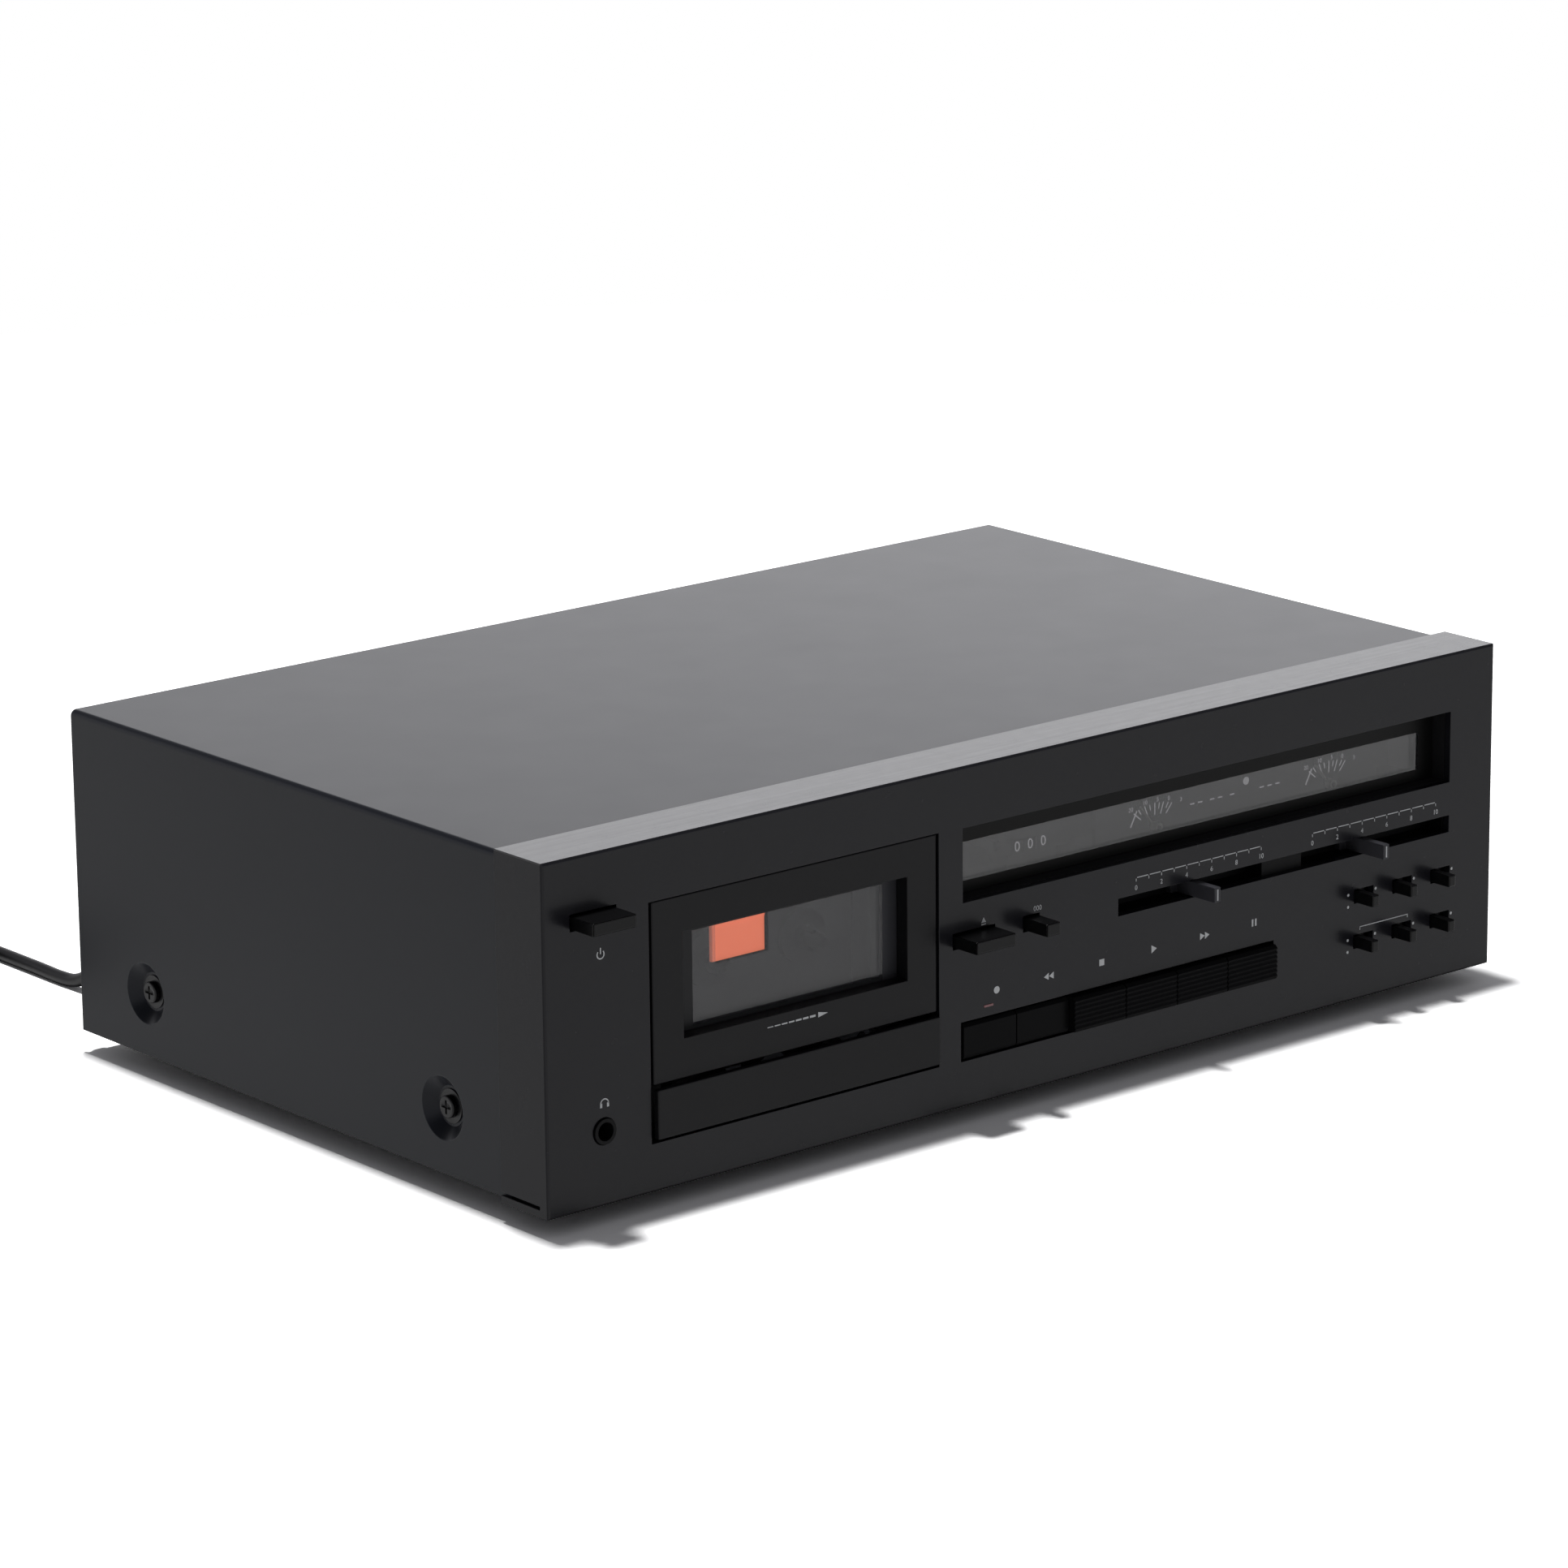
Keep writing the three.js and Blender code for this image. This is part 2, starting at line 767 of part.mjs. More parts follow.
// Bottom chassis: a folded tray with side flanges, tabs behind the screw seats and cooling slots
function makeChassis() {
  const front = panelPlate + coverGap;
  const back = rearPanelFront - seatGap;
  const floor = block([innerLeft, innerRight], [front, back], [floorBottom, floorTop]);
  const tabInset = coverInset + dishDepth + sheet + seatGap;
  const tabTop = dishRise + tabTopMargin;
  const pieces = [floor];
  const cuts = [];
  for (const [outside, inward] of [
    [innerLeft, 1],
    [innerRight, -1],
  ]) {
    const flange = [outside, outside + inward * sheet].sort((a, b) => a - b);
    pieces.push(block(flange, [front, back], [floorBottom, floorTop + chassisFlange]));
    const tabFace = inward > 0 ? tabInset : panelWidth - tabInset;
    const tab = [tabFace, tabFace + inward * sheet].sort((a, b) => a - b);
    for (const y of dishPlaces) {
      pieces.push(block(tab, [y - tabWidth / 2, y + tabWidth / 2], [floorBottom, tabTop]));
      cuts.push(roundAlongX(y, dishRise, screwShankRadius + coverGap, [tab[0] - overrun, tab[1] + overrun]));
    }
  }
  for (let number = 0; number < ventCount; number += 1) {
    const y = ventInset + number * ventPitch;
    for (const x of [transformerLeft, transformerLeft - ventLength - ventInset]) {
      cuts.push(block([x, x + ventLength], [y, y + ventWidth], [floorBottom - overrun, floorTop + overrun]));
    }
  }
  place("bottom_chassis", cutBy(joined(...pieces), ...cuts), "steel");
}

// Rear panel: a flat plate with holes for the sockets and the lead, and cooling slots
const socketPlaces = Array.from({ length: socketCount }, (_, number) => socketRight - number * socketPitch);

function makeRearPanel() {
  const span = [rearPanelFront - overrun, rearPanelBack + overrun];
  const top = coverTop - sheet - coverGap;
  const outline = [
    [innerLeft, floorBottom],
    [innerRight, floorBottom],
    [innerRight, top - coverBend],
    [innerRight - coverBend, top],
    [innerLeft + coverBend, top],
    [innerLeft, top - coverBend],
  ];
  const plate = drawnAlongY(outline, [rearPanelFront, rearPanelBack]);
  const cuts = socketPlaces.map((x) => roundAlongY(x, socketRise, socketCollarRadius + coverGap, span));
  cuts.push(roundAlongY(reliefX, reliefRise, reliefNeckRadius + coverGap, span));
  for (let number = 0; number < ventCount; number += 1) {
    const z = socketRise + number * ventPitch - socketPlateHeight;
    cuts.push(block([ventInset, ventInset + ventLength], span, [z, z + ventWidth]));
  }
  place("rear_panel", cutBy(plate, ...cuts), "cover");
}

// Feet: turned soles with a shallow hollow underneath
function makeFeet() {
  const rearSetback = bodyDepth - footRearMargin;
  const places = [
    ["front_left", footInsetX, footFrontSetback],
    ["front_right", panelWidth - footInsetX, footFrontSetback],
    ["rear_left", footInsetX, rearSetback],
    ["rear_right", panelWidth - footInsetX, rearSetback],
  ];
  for (const [name, x, y] of places) {
    const top = floorBottom - seatGap;
    const outline = [
      [0, -footDrop + footDishDepth],
      [footDishRadius, -footDrop + footDishDepth],
      [footDishRadius + footTaper, -footDrop],
      [footRadius - footTaper, -footDrop],
      [footRadius, -footDrop + footTaper],
      [footRadius, top],
      [0, top],
    ];
    const turned = outline.map(([r, z]) => new THREE.Vector2(r, z));
    const geometry = new THREE.LatheGeometry(turned, smallSides);
    geometry.rotateX(Math.PI / 2);
    geometry.translate(x, y, 0);
    place(`foot_${name}`, solidOf(geometry), "rubber");
  }
}

// Cassette door: a plate with a window opening and a collar behind it
function makeDoor() {
  const plate = chamferedBlock([doorLeft, doorRight], [0, doorPlate], [doorBottom, doorTop], seatGap * 2);
  const collar = block(
    [windowLeft - collarWall, windowRight + collarWall],
    [doorPlate / 2, windowSetback],
    [windowBottom - collarWall, windowTop + collarWall],
  );
  const opening = block(
    [windowLeft, windowRight],
    [-overrun, windowSetback + overrun],
    [windowBottom, windowTop],
  );
  place("cassette_door", cutBy(joined(plate, collar), opening), "panel");
  const lens = block(
    [windowLeft - lensLap, windowRight + lensLap],
    [lensFront, lensBack],
    [windowBottom - lensLap, windowTop + lensLap],
  );
  place("door_window", lens, "lens");
  const strip = chamferedBlock(
    [doorLeft, doorRight],
    [-headCoverProud, headCoverThickness - headCoverProud],
    [headCoverBottom, headCoverTop],
    seatGap * 3,
  );
  place("head_cover", strip, "trim");
}

// Cassette holder: two channels that grip the cassette's edges, two bars that join them behind the
// door, and two arms that reach down to the hinge
const holderLeft = pocketLeft - holderWall;
const holderRight = pocketRight + holderWall;
const flangeTop = cassetteBottom + cassetteHeight - flangeTopMargin;
const holderFront = doorPlate + seatGap;

function makeHolder() {
  const ledgeBottom = cassetteBottom - holderWall;
  const backRun = [pocketBack, pocketBack + holderWall];
  const wallTop = windowTop + lensLap + barHeight;
  const barHeights = [
    [windowTop + lensLap + barDrop / 2, wallTop],
    [doorBottom + barDrop, doorBottom + barDrop + barHeight],
  ];
  const pieces = barHeights.map((span) => block([holderLeft, holderRight], [holderFront, lensBack], span));
  const holes = [];
  for (const [inside, inward] of [
    [pocketLeft, 1],
    [pocketRight, -1],
  ]) {
    const outside = inside - inward * holderWall;
    const wallRun = ordered(outside, inside);
    const flangeRun = ordered(outside, inside + inward * flangeReach);
    const armRun = ordered(outside, outside + inward * armThickness);
    const armSpan = [hingeSetback - armDepth / 2, hingeSetback + armDepth / 2];
    const tongueSpan = [headCoverThickness - headCoverProud + seatGap, hingeSetback];
    pieces.push(block(wallRun, [lensBack + seatGap, backRun[1]], [ledgeBottom, wallTop]));
    pieces.push(...barHeights.map((span) => block(wallRun, [holderFront, pocketFront + holderWall], span)));
    pieces.push(block(flangeRun, backRun, [ledgeBottom, flangeTop]));
    pieces.push(block(flangeRun, [pocketFront, backRun[1]], [ledgeBottom, cassetteBottom]));
    pieces.push(block(armRun, armSpan, [hingeRise, cassetteBottom]));
    pieces.push(roundAlongX(hingeSetback, hingeRise, hingeBossRadius, armRun));
    pieces.push(block(armRun, tongueSpan, [headCoverBottom + tongueRise, headCoverTop - tongueTopDrop]));
    const holeRun = [armRun[0] - overrun, armRun[1] + overrun];
    holes.push(roundAlongX(hingeSetback, hingeRise, hingePinRadius + meetGap, holeRun));
  }
  place("cassette_holder", cutBy(joined(...pieces), ...holes), "trim");
  const blockLeft = windowLeft + blockWindowLeft;
  const blockTop = windowTop - blockWindowTop;
  const blockRun = [blockLeft, blockLeft + blockWidth];
  const blockBack = pocketFront + blockDepth;
  const face = block(blockRun, [pocketFront, blockBack], [blockTop - blockHeight, blockTop]);
  const neck = block(blockRun, [lensBack + seatGap, blockBack], [blockTop - seatGap, wallTop]);
  place("holder_block", joined(face, neck), "orange");
}

// Transport plate: carries the spindles, the capstan and the door's hinge pins, with a bridge plate
// behind it on four pillars for the flywheel's rear bearing and the motor
const pillarPlaces = [
  [motorX - motorRadius / 2, motorZ + motorRadius + reelPulleyRadius],
  [motorX - motorRadius / 2, motorZ - motorRadius - pillarRadius],
  [capstanX + flywheelRadius - pillarRadius, capstanZ + flywheelRadius + pillarRadius],
  [capstanX + flywheelRadius - pillarRadius, capstanZ - flywheelRadius],
];
const bridgePlateBack = bridgePlateSetback + plateThickness;
const rollerX = capstanX;
const rollerZ = capstanZ - rollerDrop;
const armPivotX = rollerX + armReach;
const armPivotZ = rollerZ;
const rollerBack = plateSetback - armPlate - meetGap * 2;
const bridgeTop = cassetteBottom - bridgeTopDrop;
const bridgeLeft = doorCentreX - bridgeWidth / 2;
const bridgeRight = bridgeLeft + bridgeWidth - rollerRadius;
const guideXs = [bridgeLeft + bridgeHeight, bridgeRight - bridgeHeight];
const guideZ = bridgeTop - guidePinRadius * 2;
const beltFront = plateBack + flywheelSetback + (flywheelThickness - beltWidth) / 2;

function makeTransportPlate() {
  const plate = block([plateLeft, plateRight], [plateSetback, plateBack], [floorTop + seatGap, plateTop]);
  const foot = block(
    [plateLeft, plateRight],
    [plateSetback, plateBack + plateFootReach],
    [floorTop + seatGap, floorTop + seatGap + plateThickness],
  );
  const pillarXs = pillarPlaces.map(([x]) => x);
  const pillarZs = pillarPlaces.map(([, z]) => z);
  const bridge = block(
    [Math.min(...pillarXs) - pillarRadius * 2, Math.max(...pillarXs) + pillarRadius * 2],
    [bridgePlateSetback, bridgePlateBack],
    [Math.min(...pillarZs) - pillarRadius, Math.max(...pillarZs) + pillarRadius * 2],
  );
  const pillars = pillarPlaces.map(([x, z]) =>
    roundAlongY(x, z, pillarRadius, [
      plateBack - plateThickness / 2,
      bridgePlateSetback + plateThickness / 2,
    ]),
  );
  const pieces = [plate, foot, bridge, ...pillars];
  for (const [arm, outward] of [
    [holderLeft, -1],
    [holderRight, 1],
  ]) {
    const ear = arm + outward * slideGap;
    const earRun = ordered(ear, ear + outward * earThickness);
    const earSpan = [hingeRise - earHalfHeight, hingeRise + earHalfHeight];
    pieces.push(block(earRun, [hingeSetback, plateSetback + plateThickness / 2], earSpan));
    pieces.push(roundAlongX(hingeSetback, hingeRise, earHalfHeight, earRun));
    const pinRun = ordered(ear + (outward * earThickness) / 2, arm - outward * (armThickness + slideGap));
    pieces.push(roundAlongX(hingeSetback, hingeRise, hingePinRadius, pinRun));
  }
  const pivotPin = [plateSetback - armPlate - meetGap * 2, plateSetback + plateThickness / 2];
  pieces.push(roundAlongY(armPivotX, armPivotZ, armPivotRadius - meetGap, pivotPin));
  const guidePin = [plateSetback - bridgeThickness + meetGap, plateSetback + plateThickness / 2];
  pieces.push(...guideXs.map((x) => roundAlongY(x, guideZ, guidePinRadius, guidePin)));
  const span = [plateSetback - overrun, plateBack + overrun];
  const bridgeSpan = [bridgePlateSetback - overrun, bridgePlateBack + overrun];
  const cuts = [
    roundAlongY(supplyX, hubZ, spindleShaftRadius + meetGap, span),
    roundAlongY(takeupX, hubZ, spindleShaftRadius + meetGap, span),
    roundAlongY(capstanX, capstanZ, capstanRadius + meetGap, span),
    roundAlongY(motorX, motorZ, motorShaftRadius + slideGap, bridgeSpan),
  ];
  place("transport_plate", cutBy(joined(...pieces), ...cuts), "steel");
}

// A reel spindle: splined tip, hub, reel table, shaft through the plate and a pulley behind it
function makeSpindle(name, x) {
  const tableBack = plateSetback - meetGap;
  const tableFront = tableBack - reelTableThickness;
  const tip = plateSetback - spindleReach;
  const pulleyFront = plateBack + meetGap;
  const body = turnedAlongY(
    x,
    hubZ,
    [
      [0, tip],
      [spindleTipRadius / 2, tip],
      [spindleTipRadius, tip + spindleTipRadius],
      [spindleTipRadius, tableFront - spindleTipRadius],
      [spindleHubRadius, tableFront - spindleTipRadius],
      [spindleHubRadius, tableFront],
      [reelTableRadius, tableFront],
      [reelTableRadius, tableBack],
      [spindleShaftRadius, tableBack],
      [spindleShaftRadius, pulleyFront],
      [reelPulleyRadius, pulleyFront],
      [reelPulleyRadius, pulleyFront + reelPulleyThickness],
      [0, pulleyFront + reelPulleyThickness],
    ],
    smallSides + splineCount * 2,
  );
  const splines = Array.from({ length: splineCount }, (_, number) => {
    const spline = block(
      [0, spindleHubRadius],
      [tip + spindleTipRadius, tableFront - seatGap],
      [-splineWidth / 2, splineWidth / 2],
    );
    const turned = spline.rotate([0, (number * 360) / splineCount, 0]);
    return turned.translate([x, 0, hubZ]);
  });
  place(name, joined(body, ...splines), "trim");
}

// Capstan and flywheel: a slim shaft through the plate with a heavy rimmed wheel behind it
function makeCapstan() {
  const front = plateBack + flywheelSetback;
  const back = front + flywheelThickness;
  const rim = flywheelRadius - flywheelRimWidth;
  const wheel = turnedAlongY(capstanX, capstanZ, [
    [0, plateSetback - spindleReach],
    [capstanRadius, plateSetback - spindleReach],
    [capstanRadius, front - flywheelRecess / 2],
    [flywheelHubRadius, front - flywheelRecess / 2],
    [flywheelHubRadius, front + flywheelRecess],
    [rim, front + flywheelRecess],
    [rim, front],
    [flywheelRadius, front],
    [flywheelRadius, back],
    [capstanRadius, back],
    [capstanRadius, bridgePlateSetback - meetGap],
    [0, bridgePlateSetback - meetGap],
  ]);
  place("capstan_flywheel", wheel, "bright");
}

// Motor behind the bridge plate, its pulley in front of it, and the belt to the flywheel's rim
function makeMotor() {
  const front = bridgePlateBack + seatGap;
  const can = turnedAlongY(motorX, motorZ, [
    [0, front + motorShaftBite + meetGap],
    [motorShaftRadius + slideGap, front + motorShaftBite + meetGap],
    [motorShaftRadius + slideGap, front],
    [motorRadius - pillarRadius / 2, front],
    [motorRadius, front + pillarRadius / 2],
    [motorRadius, front + motorLength],
    [0, front + motorLength],
  ]);
  place("capstan_motor", can, "steel");
  const middle = beltFront + beltWidth / 2;
  const pulleyFront = middle - pulleyHeight / 2;
  const pulleyBack = middle + pulleyHeight / 2;
  const pulley = turnedAlongY(
    motorX,
    motorZ,
    [
      [0, pulleyFront],
      [pulleyRadius + pulleyFlange, pulleyFront],
      [pulleyRadius + pulleyFlange, beltFront - pulleyFlange],
      [pulleyRadius, beltFront - pulleyFlange / 2],
      [pulleyRadius, beltFront + beltWidth + pulleyFlange / 2],
      [pulleyRadius + pulleyFlange, beltFront + beltWidth + pulleyFlange],
      [pulleyRadius + pulleyFlange, pulleyBack],
      [motorShaftRadius, pulleyBack],
      [motorShaftRadius, front + motorShaftBite],
      [0, front + motorShaftBite],
    ],
    smallSides,
  );
  place("motor_pulley", pulley, "brass");
}

// The outline round two circles with its straight runs, as a belt lies on two wheels
function beltOutline(growth) {
  const reach = Math.hypot(capstanX - motorX, capstanZ - motorZ);
  const lean = Math.atan2(capstanZ - motorZ, capstanX - motorX);
  const large = flywheelRadius + growth;
  const small = pulleyRadius + growth;
  const spread = Math.acos((small - large) / reach);
  const outline = new THREE.Shape();
  outline.absarc(motorX, motorZ, small, lean + Math.PI - (Math.PI - spread), lean - spread, false);
  outline.absarc(capstanX, capstanZ, large, lean - spread, lean + spread, false);
  outline.closePath();
  return outline;
}

function makeBelt() {
  const settings = { bevelEnabled: false, curveSegments: smallSides };
  const make = (growth, y0, y1) => {
    const geometry = new THREE.ExtrudeGeometry(beltOutline(growth), { ...settings, depth: y1 - y0 });
    geometry.rotateX(Math.PI / 2);
    geometry.translate(0, y1, 0);
    return solidOf(geometry);
  };
  const outer = make(beltGap + beltThickness, beltFront, beltFront + beltWidth);
  const inner = make(beltGap, beltFront - overrun, beltFront + beltWidth + overrun);
  place("drive_belt", outer.subtract(inner), "rubber");
}

// Pinch arm and roller: at rest the roller hangs below the capstan, ready to swing up to it
function makePinch() {
  const armRun = [plateSetback - meetGap - armPlate, plateSetback - meetGap];
  const bar = block([rollerX, armPivotX], armRun, [rollerZ - armHalfWidth, rollerZ + armHalfWidth]);
  const pin = [rollerBack - rollerWidth - meetGap, armRun[0] + armPlate / 2];
  const arm = joined(
    bar,
    roundAlongY(rollerX, rollerZ, armHalfWidth, armRun),
    roundAlongY(armPivotX, armPivotZ, armHalfWidth, armRun),
    roundAlongY(rollerX, rollerZ, rollerPinRadius, pin),
  );
  const holeRun = [armRun[0] - overrun, armRun[1] + overrun];
  const pivotHole = roundAlongY(armPivotX, armPivotZ, armPivotRadius, holeRun);
  place("pinch_arm", cutBy(arm, pivotHole), "steel");
  const rollerRun = [rollerBack - rollerWidth, rollerBack];
  const roller = roundAlongY(rollerX, rollerZ, rollerRadius, rollerRun, roundSides);
  const bore = roundAlongY(rollerX, rollerZ, rollerPinRadius + meetGap, [
    rollerBack - rollerWidth - overrun,
    rollerBack + overrun,
  ]);
  place("pinch_roller", cutBy(roller, bore), "rubber");
}

// Head bridge: a sliding block with the record and play head in its middle and the erase head beside it
function makeHeadBridge() {
  const back = plateSetback - meetGap;
  const barSpan = [bridgeTop - bridgeHeight, bridgeTop];
  const bar = block([bridgeLeft, bridgeRight], [back - bridgeThickness, back], barSpan);
  const slotHalf = guidePinRadius + meetGap;
  const slots = guideXs.map((x) =>
    joined(
      block(
        [x - slotHalf, x + slotHalf],
        [back - bridgeThickness - overrun, back + overrun],
        [bridgeTop - bridgeHeight - overrun, guideZ],
      ),
      roundAlongY(x, guideZ, slotHalf, [back - bridgeThickness - overrun, back + overrun]),
    ),
  );
  const headFront = back - headDepth;
  const headRun = [headFront, back - plateThickness];
  const headSpan = [doorCentreX - headWidth / 2, doorCentreX + headWidth / 2];
  const headBox = block(headSpan, headRun, [bridgeTop - seatGap, bridgeTop + headHeight]);
  const head = headBox.intersect(roundAlongY(doorCentreX, bridgeTop, headNoseRadius, headRun, roundSides));
  const eraseX = doorCentreX - eraseHeadOffset;
  const erase = block(
    [eraseX - eraseHeadWidth / 2, eraseX + eraseHeadWidth / 2],
    [headFront + plateThickness, back - plateThickness],
    [bridgeTop - seatGap, bridgeTop + headHeight - plateThickness],
  );
  place("head_bridge", joined(cutBy(bar, ...slots), head, erase), "steel");
}

// Display: a tray behind the opening holds the lens, the counter's shaft and the meters' card
function makeDisplay() {
  const left = displayLeft - displayWall;
  const right = displayRight + displayWall;
  const bottom = displayBottom - displayWall;
  const top = displayTop + displayWall;
  const shell = block([left, right], [panelBack, displayBack], [bottom, top]);
  const lensBackY = displayLensSetback + displayLensThickness;
  const hollow = block(
    [displayLeft, displayRight],
    [panelBack - overrun, displayBack - displayWall],
    [displayBottom, displayTop],
  );
  const drumRun = [displayLeft + drumLeft, displayLeft + drumLeft + drumPitch * 3];
  const drumY = lensBackY + slideGap + drumRadius;
  const drumZ = displayBottom + drumRise;
  const shaftRun = [drumRun[0] - displayWall * 2, drumRun[1] + displayWall * 2];
  const shaft = roundAlongX(drumY, drumZ, drumShaftRadius, shaftRun);
  const holders = [shaftRun[0], drumRun[1] + slideGap].map((x) =>
    block(
      [x, x + displayWall],
      [drumY - displayWall, displayBack - displayWall / 2],
      [drumZ - displayWall, drumZ + displayWall],
    ),
  );
  const cardMargin = displayWidth * meterCardShare;
  const cardLeft = displayLeft + meterOffsets.left - cardMargin;
  const cardRun = [cardLeft, displayLeft + meterOffsets.right + cardMargin];
  const card = block(
    cardRun,
    [scaleCardSetback + displayWall, scaleCardSetback + displayWall * 2],
    [displayBottom - displayWall / 2, displayTop - displayWall],
  );
  const cardStay = block(
    cardRun,
    [scaleCardSetback + displayWall, displayBack - displayWall / 2],
    [displayBottom - displayWall / 2, displayBottom + displayWall],
  );
  const pins = Object.values(meterOffsets).map((offset) =>
    roundAlongY(displayLeft + offset, displayBottom + meterPivotRise, meterPinRadius, [
      scaleCardSetback - needleHubLength,
      scaleCardSetback + displayWall * 2,
    ]),
  );
  const inner = [shaft, ...holders, card, cardStay, ...pins];
  place("display_housing", joined(shell.subtract(hollow), ...inner), "trim");
  const lens = block(
    [displayLeft + coverGap, displayRight - coverGap],
    [displayLensSetback, lensBackY],
    [displayBottom + coverGap, displayTop - coverGap],
  );
  place("display_lens", lens, "lens");
  ["hundreds", "tens", "units"].forEach((name, number) => {
    const x = drumRun[0] + number * drumPitch;
    const drum = turnedAlongX(
      drumY,
      drumZ,
      [
        [drumBoreRadius, x],
        [drumRadius - coverGap, x],
        [drumRadius, x + coverGap],
        [drumRadius, x + drumWidth - coverGap],
        [drumRadius - coverGap, x + drumWidth],
        [drumBoreRadius, x + drumWidth],
        [drumBoreRadius, x],
      ],
      smallSides,
    );
    place(`counter_drum_${name}`, drum, "trim");
  });
  for (const [name, offset] of Object.entries(meterOffsets)) {
    const hubRun = [scaleCardSetback - needleHubLength, scaleCardSetback];
    const pointerRun = [scaleCardSetback - needleThickness, scaleCardSetback];
    const hub = roundAlongY(0, 0, needleHubRadius, hubRun);
    const pointer = block([-needleWidth / 2, needleWidth / 2], pointerRun, [0, needleLength]);
    const tail = block([-needleWidth, needleWidth], pointerRun, [-needleHubRadius * 2, 0]);
    const bore = roundAlongY(0, 0, meterPinRadius + coverGap, [hubRun[0] - overrun, hubRun[1] + overrun]);
    const needle = cutBy(joined(hub, pointer, tail), bore).rotate([0, -needleRestAngle, 0]);
    const pivot = [displayLeft + offset, 0, displayBottom + meterPivotRise];
    place(`meter_needle_${name}`, needle.translate(pivot), "orange");
  }
}

// Push buttons: a long bar through the panel with a lip behind it that stops it falling out
function makeButton(name, left, width, bottom) {
  const bar = chamferedBlock(
    [left, left + width],
    [-buttonReach, panelBack],
    [bottom, bottom + buttonHeight],
    coverGap * 2,
  );
  const lip = block(
    [left - buttonLip * 2, left + width + buttonLip * 2],
    [panelBack, panelBack + panelPlate / 2],
    [bottom - buttonLip * 2, bottom + buttonHeight + buttonLip * 2],
  );
  const middle = left + width / 2;
  const stem = block(
    [middle - buttonHeight / 2, middle + buttonHeight / 2],
    [panelBack, panelBack + buttonStemLength / 2],
    [bottom, bottom + buttonHeight],
  );
  place(name, joined(bar, lip, stem), "knob");
}

// Transport keys: six in a row, the last four standing further out than the first two
const keyNames = ["record", "rewind", "stop", "play", "forward", "pause"];

function makeKeys() {
  const span = keySlotWidth - keySideGap * 2 - keyGap * (keyCount - 1);
  const width = span / keyCount;
  keyNames.forEach((name, number) => {
    const left = keySlotLeft + keySideGap + number * (width + keyGap);
    const reach = number < lowKeyCount ? lowKeyReach : highKeyReach;
    const low = keySlotBottom + slideGap * 2;
    const high = keySlotTop - slideGap * 2;
    const ribPitch = (high - low - keyBevel * 2) / keyRibCount;
    const ribs = Array.from({ length: keyRibCount }, (_, rib) => [
      [-reach, high - keyBevel - rib * ribPitch],
      [-reach + keyRibDepth, high - keyBevel - (rib + 1 / 2) * ribPitch],
    ]).flat();
    const cap = drawnAlongX(
      [
        [-reach, low + keyBevel],
        [-reach + keyBevel / 2, low],
        [keyBack, low],
        [keyBack, high],
        [-reach + keyBevel, high],
        ...(number < lowKeyCount ? [[-reach, high - keyBevel]] : ribs),
      ],
      [left, left + width],
    );
    const middle = left + width / 2;
    const height = (low + high) / 2;
    const stem = block(
      [middle - keyStemWidth / 2, middle + keyStemWidth / 2],
      [keyBack - overrun, keyBack + keyStemLength / 2],
      [height - keyStemHeight / 2, height + keyStemHeight / 2],
    );
    place(`key_${name}`, joined(cap, stem), "knob");
  });
}

// Level sliders: thin upright blades whose feet run in the rail behind the slot
const levelPocketWidth = (levelSlotWidth - levelWebWidth) / 2;
const webLeft = levelSlotLeft + levelPocketWidth;
const webRight = webLeft + levelWebWidth;
const railFront = panelBack;
const pocketFloor = railFront + levelPocketDepth;

function makeLevelSlider(name, knobLeft) {
  const low = levelSlotBottom + slideGap;
  const high = levelSlotTop - slideGap;
  const knobRun = [knobLeft, knobLeft + levelKnobWidth];
  const blade = chamferedBlock(knobRun, [-levelKnobReach, pocketFloor - meetGap], [low, high], coverGap);
  const middle = knobLeft + levelKnobWidth / 2;
  const foot = block(
    [middle - levelFootLength / 2, middle + levelFootLength / 2],
    [pocketFloor - meetGap - levelFootThickness, pocketFloor - meetGap],
    [low, high],
  );
  place(name, joined(blade, foot), "knob");
}

// Slide switches: small square levers, each with a dust shield behind the panel
function makeSwitch(number) {
  const [x, z] = switchCentre(number);
  const middle = x - switchTravel / 2;
  const half = switchSlotHeight / 2 - slideGap;
  const lever = chamferedBlock(
    [middle - switchKnobWidth / 2, middle + switchKnobWidth / 2],
    [-switchKnobReach, panelBack + switchShieldThickness],
    [z - half, z + half],
    coverGap * 2,
  );
  const shield = block(
    [middle - switchShieldWidth / 2, middle + switchShieldWidth / 2],
    [panelBack + coverGap, panelBack + coverGap + switchShieldThickness],
    [z - switchShieldHeight / 2, z + switchShieldHeight / 2],
  );
  const stem = block(
    [middle - switchKnobWidth / 2, middle + switchKnobWidth / 2],
    [panelBack, panelBack + switchStemLength],
    [z - half, z + half],
  );
  place(`mode_switch_${number + 1}`, joined(lever, shield, stem), "knob");
}

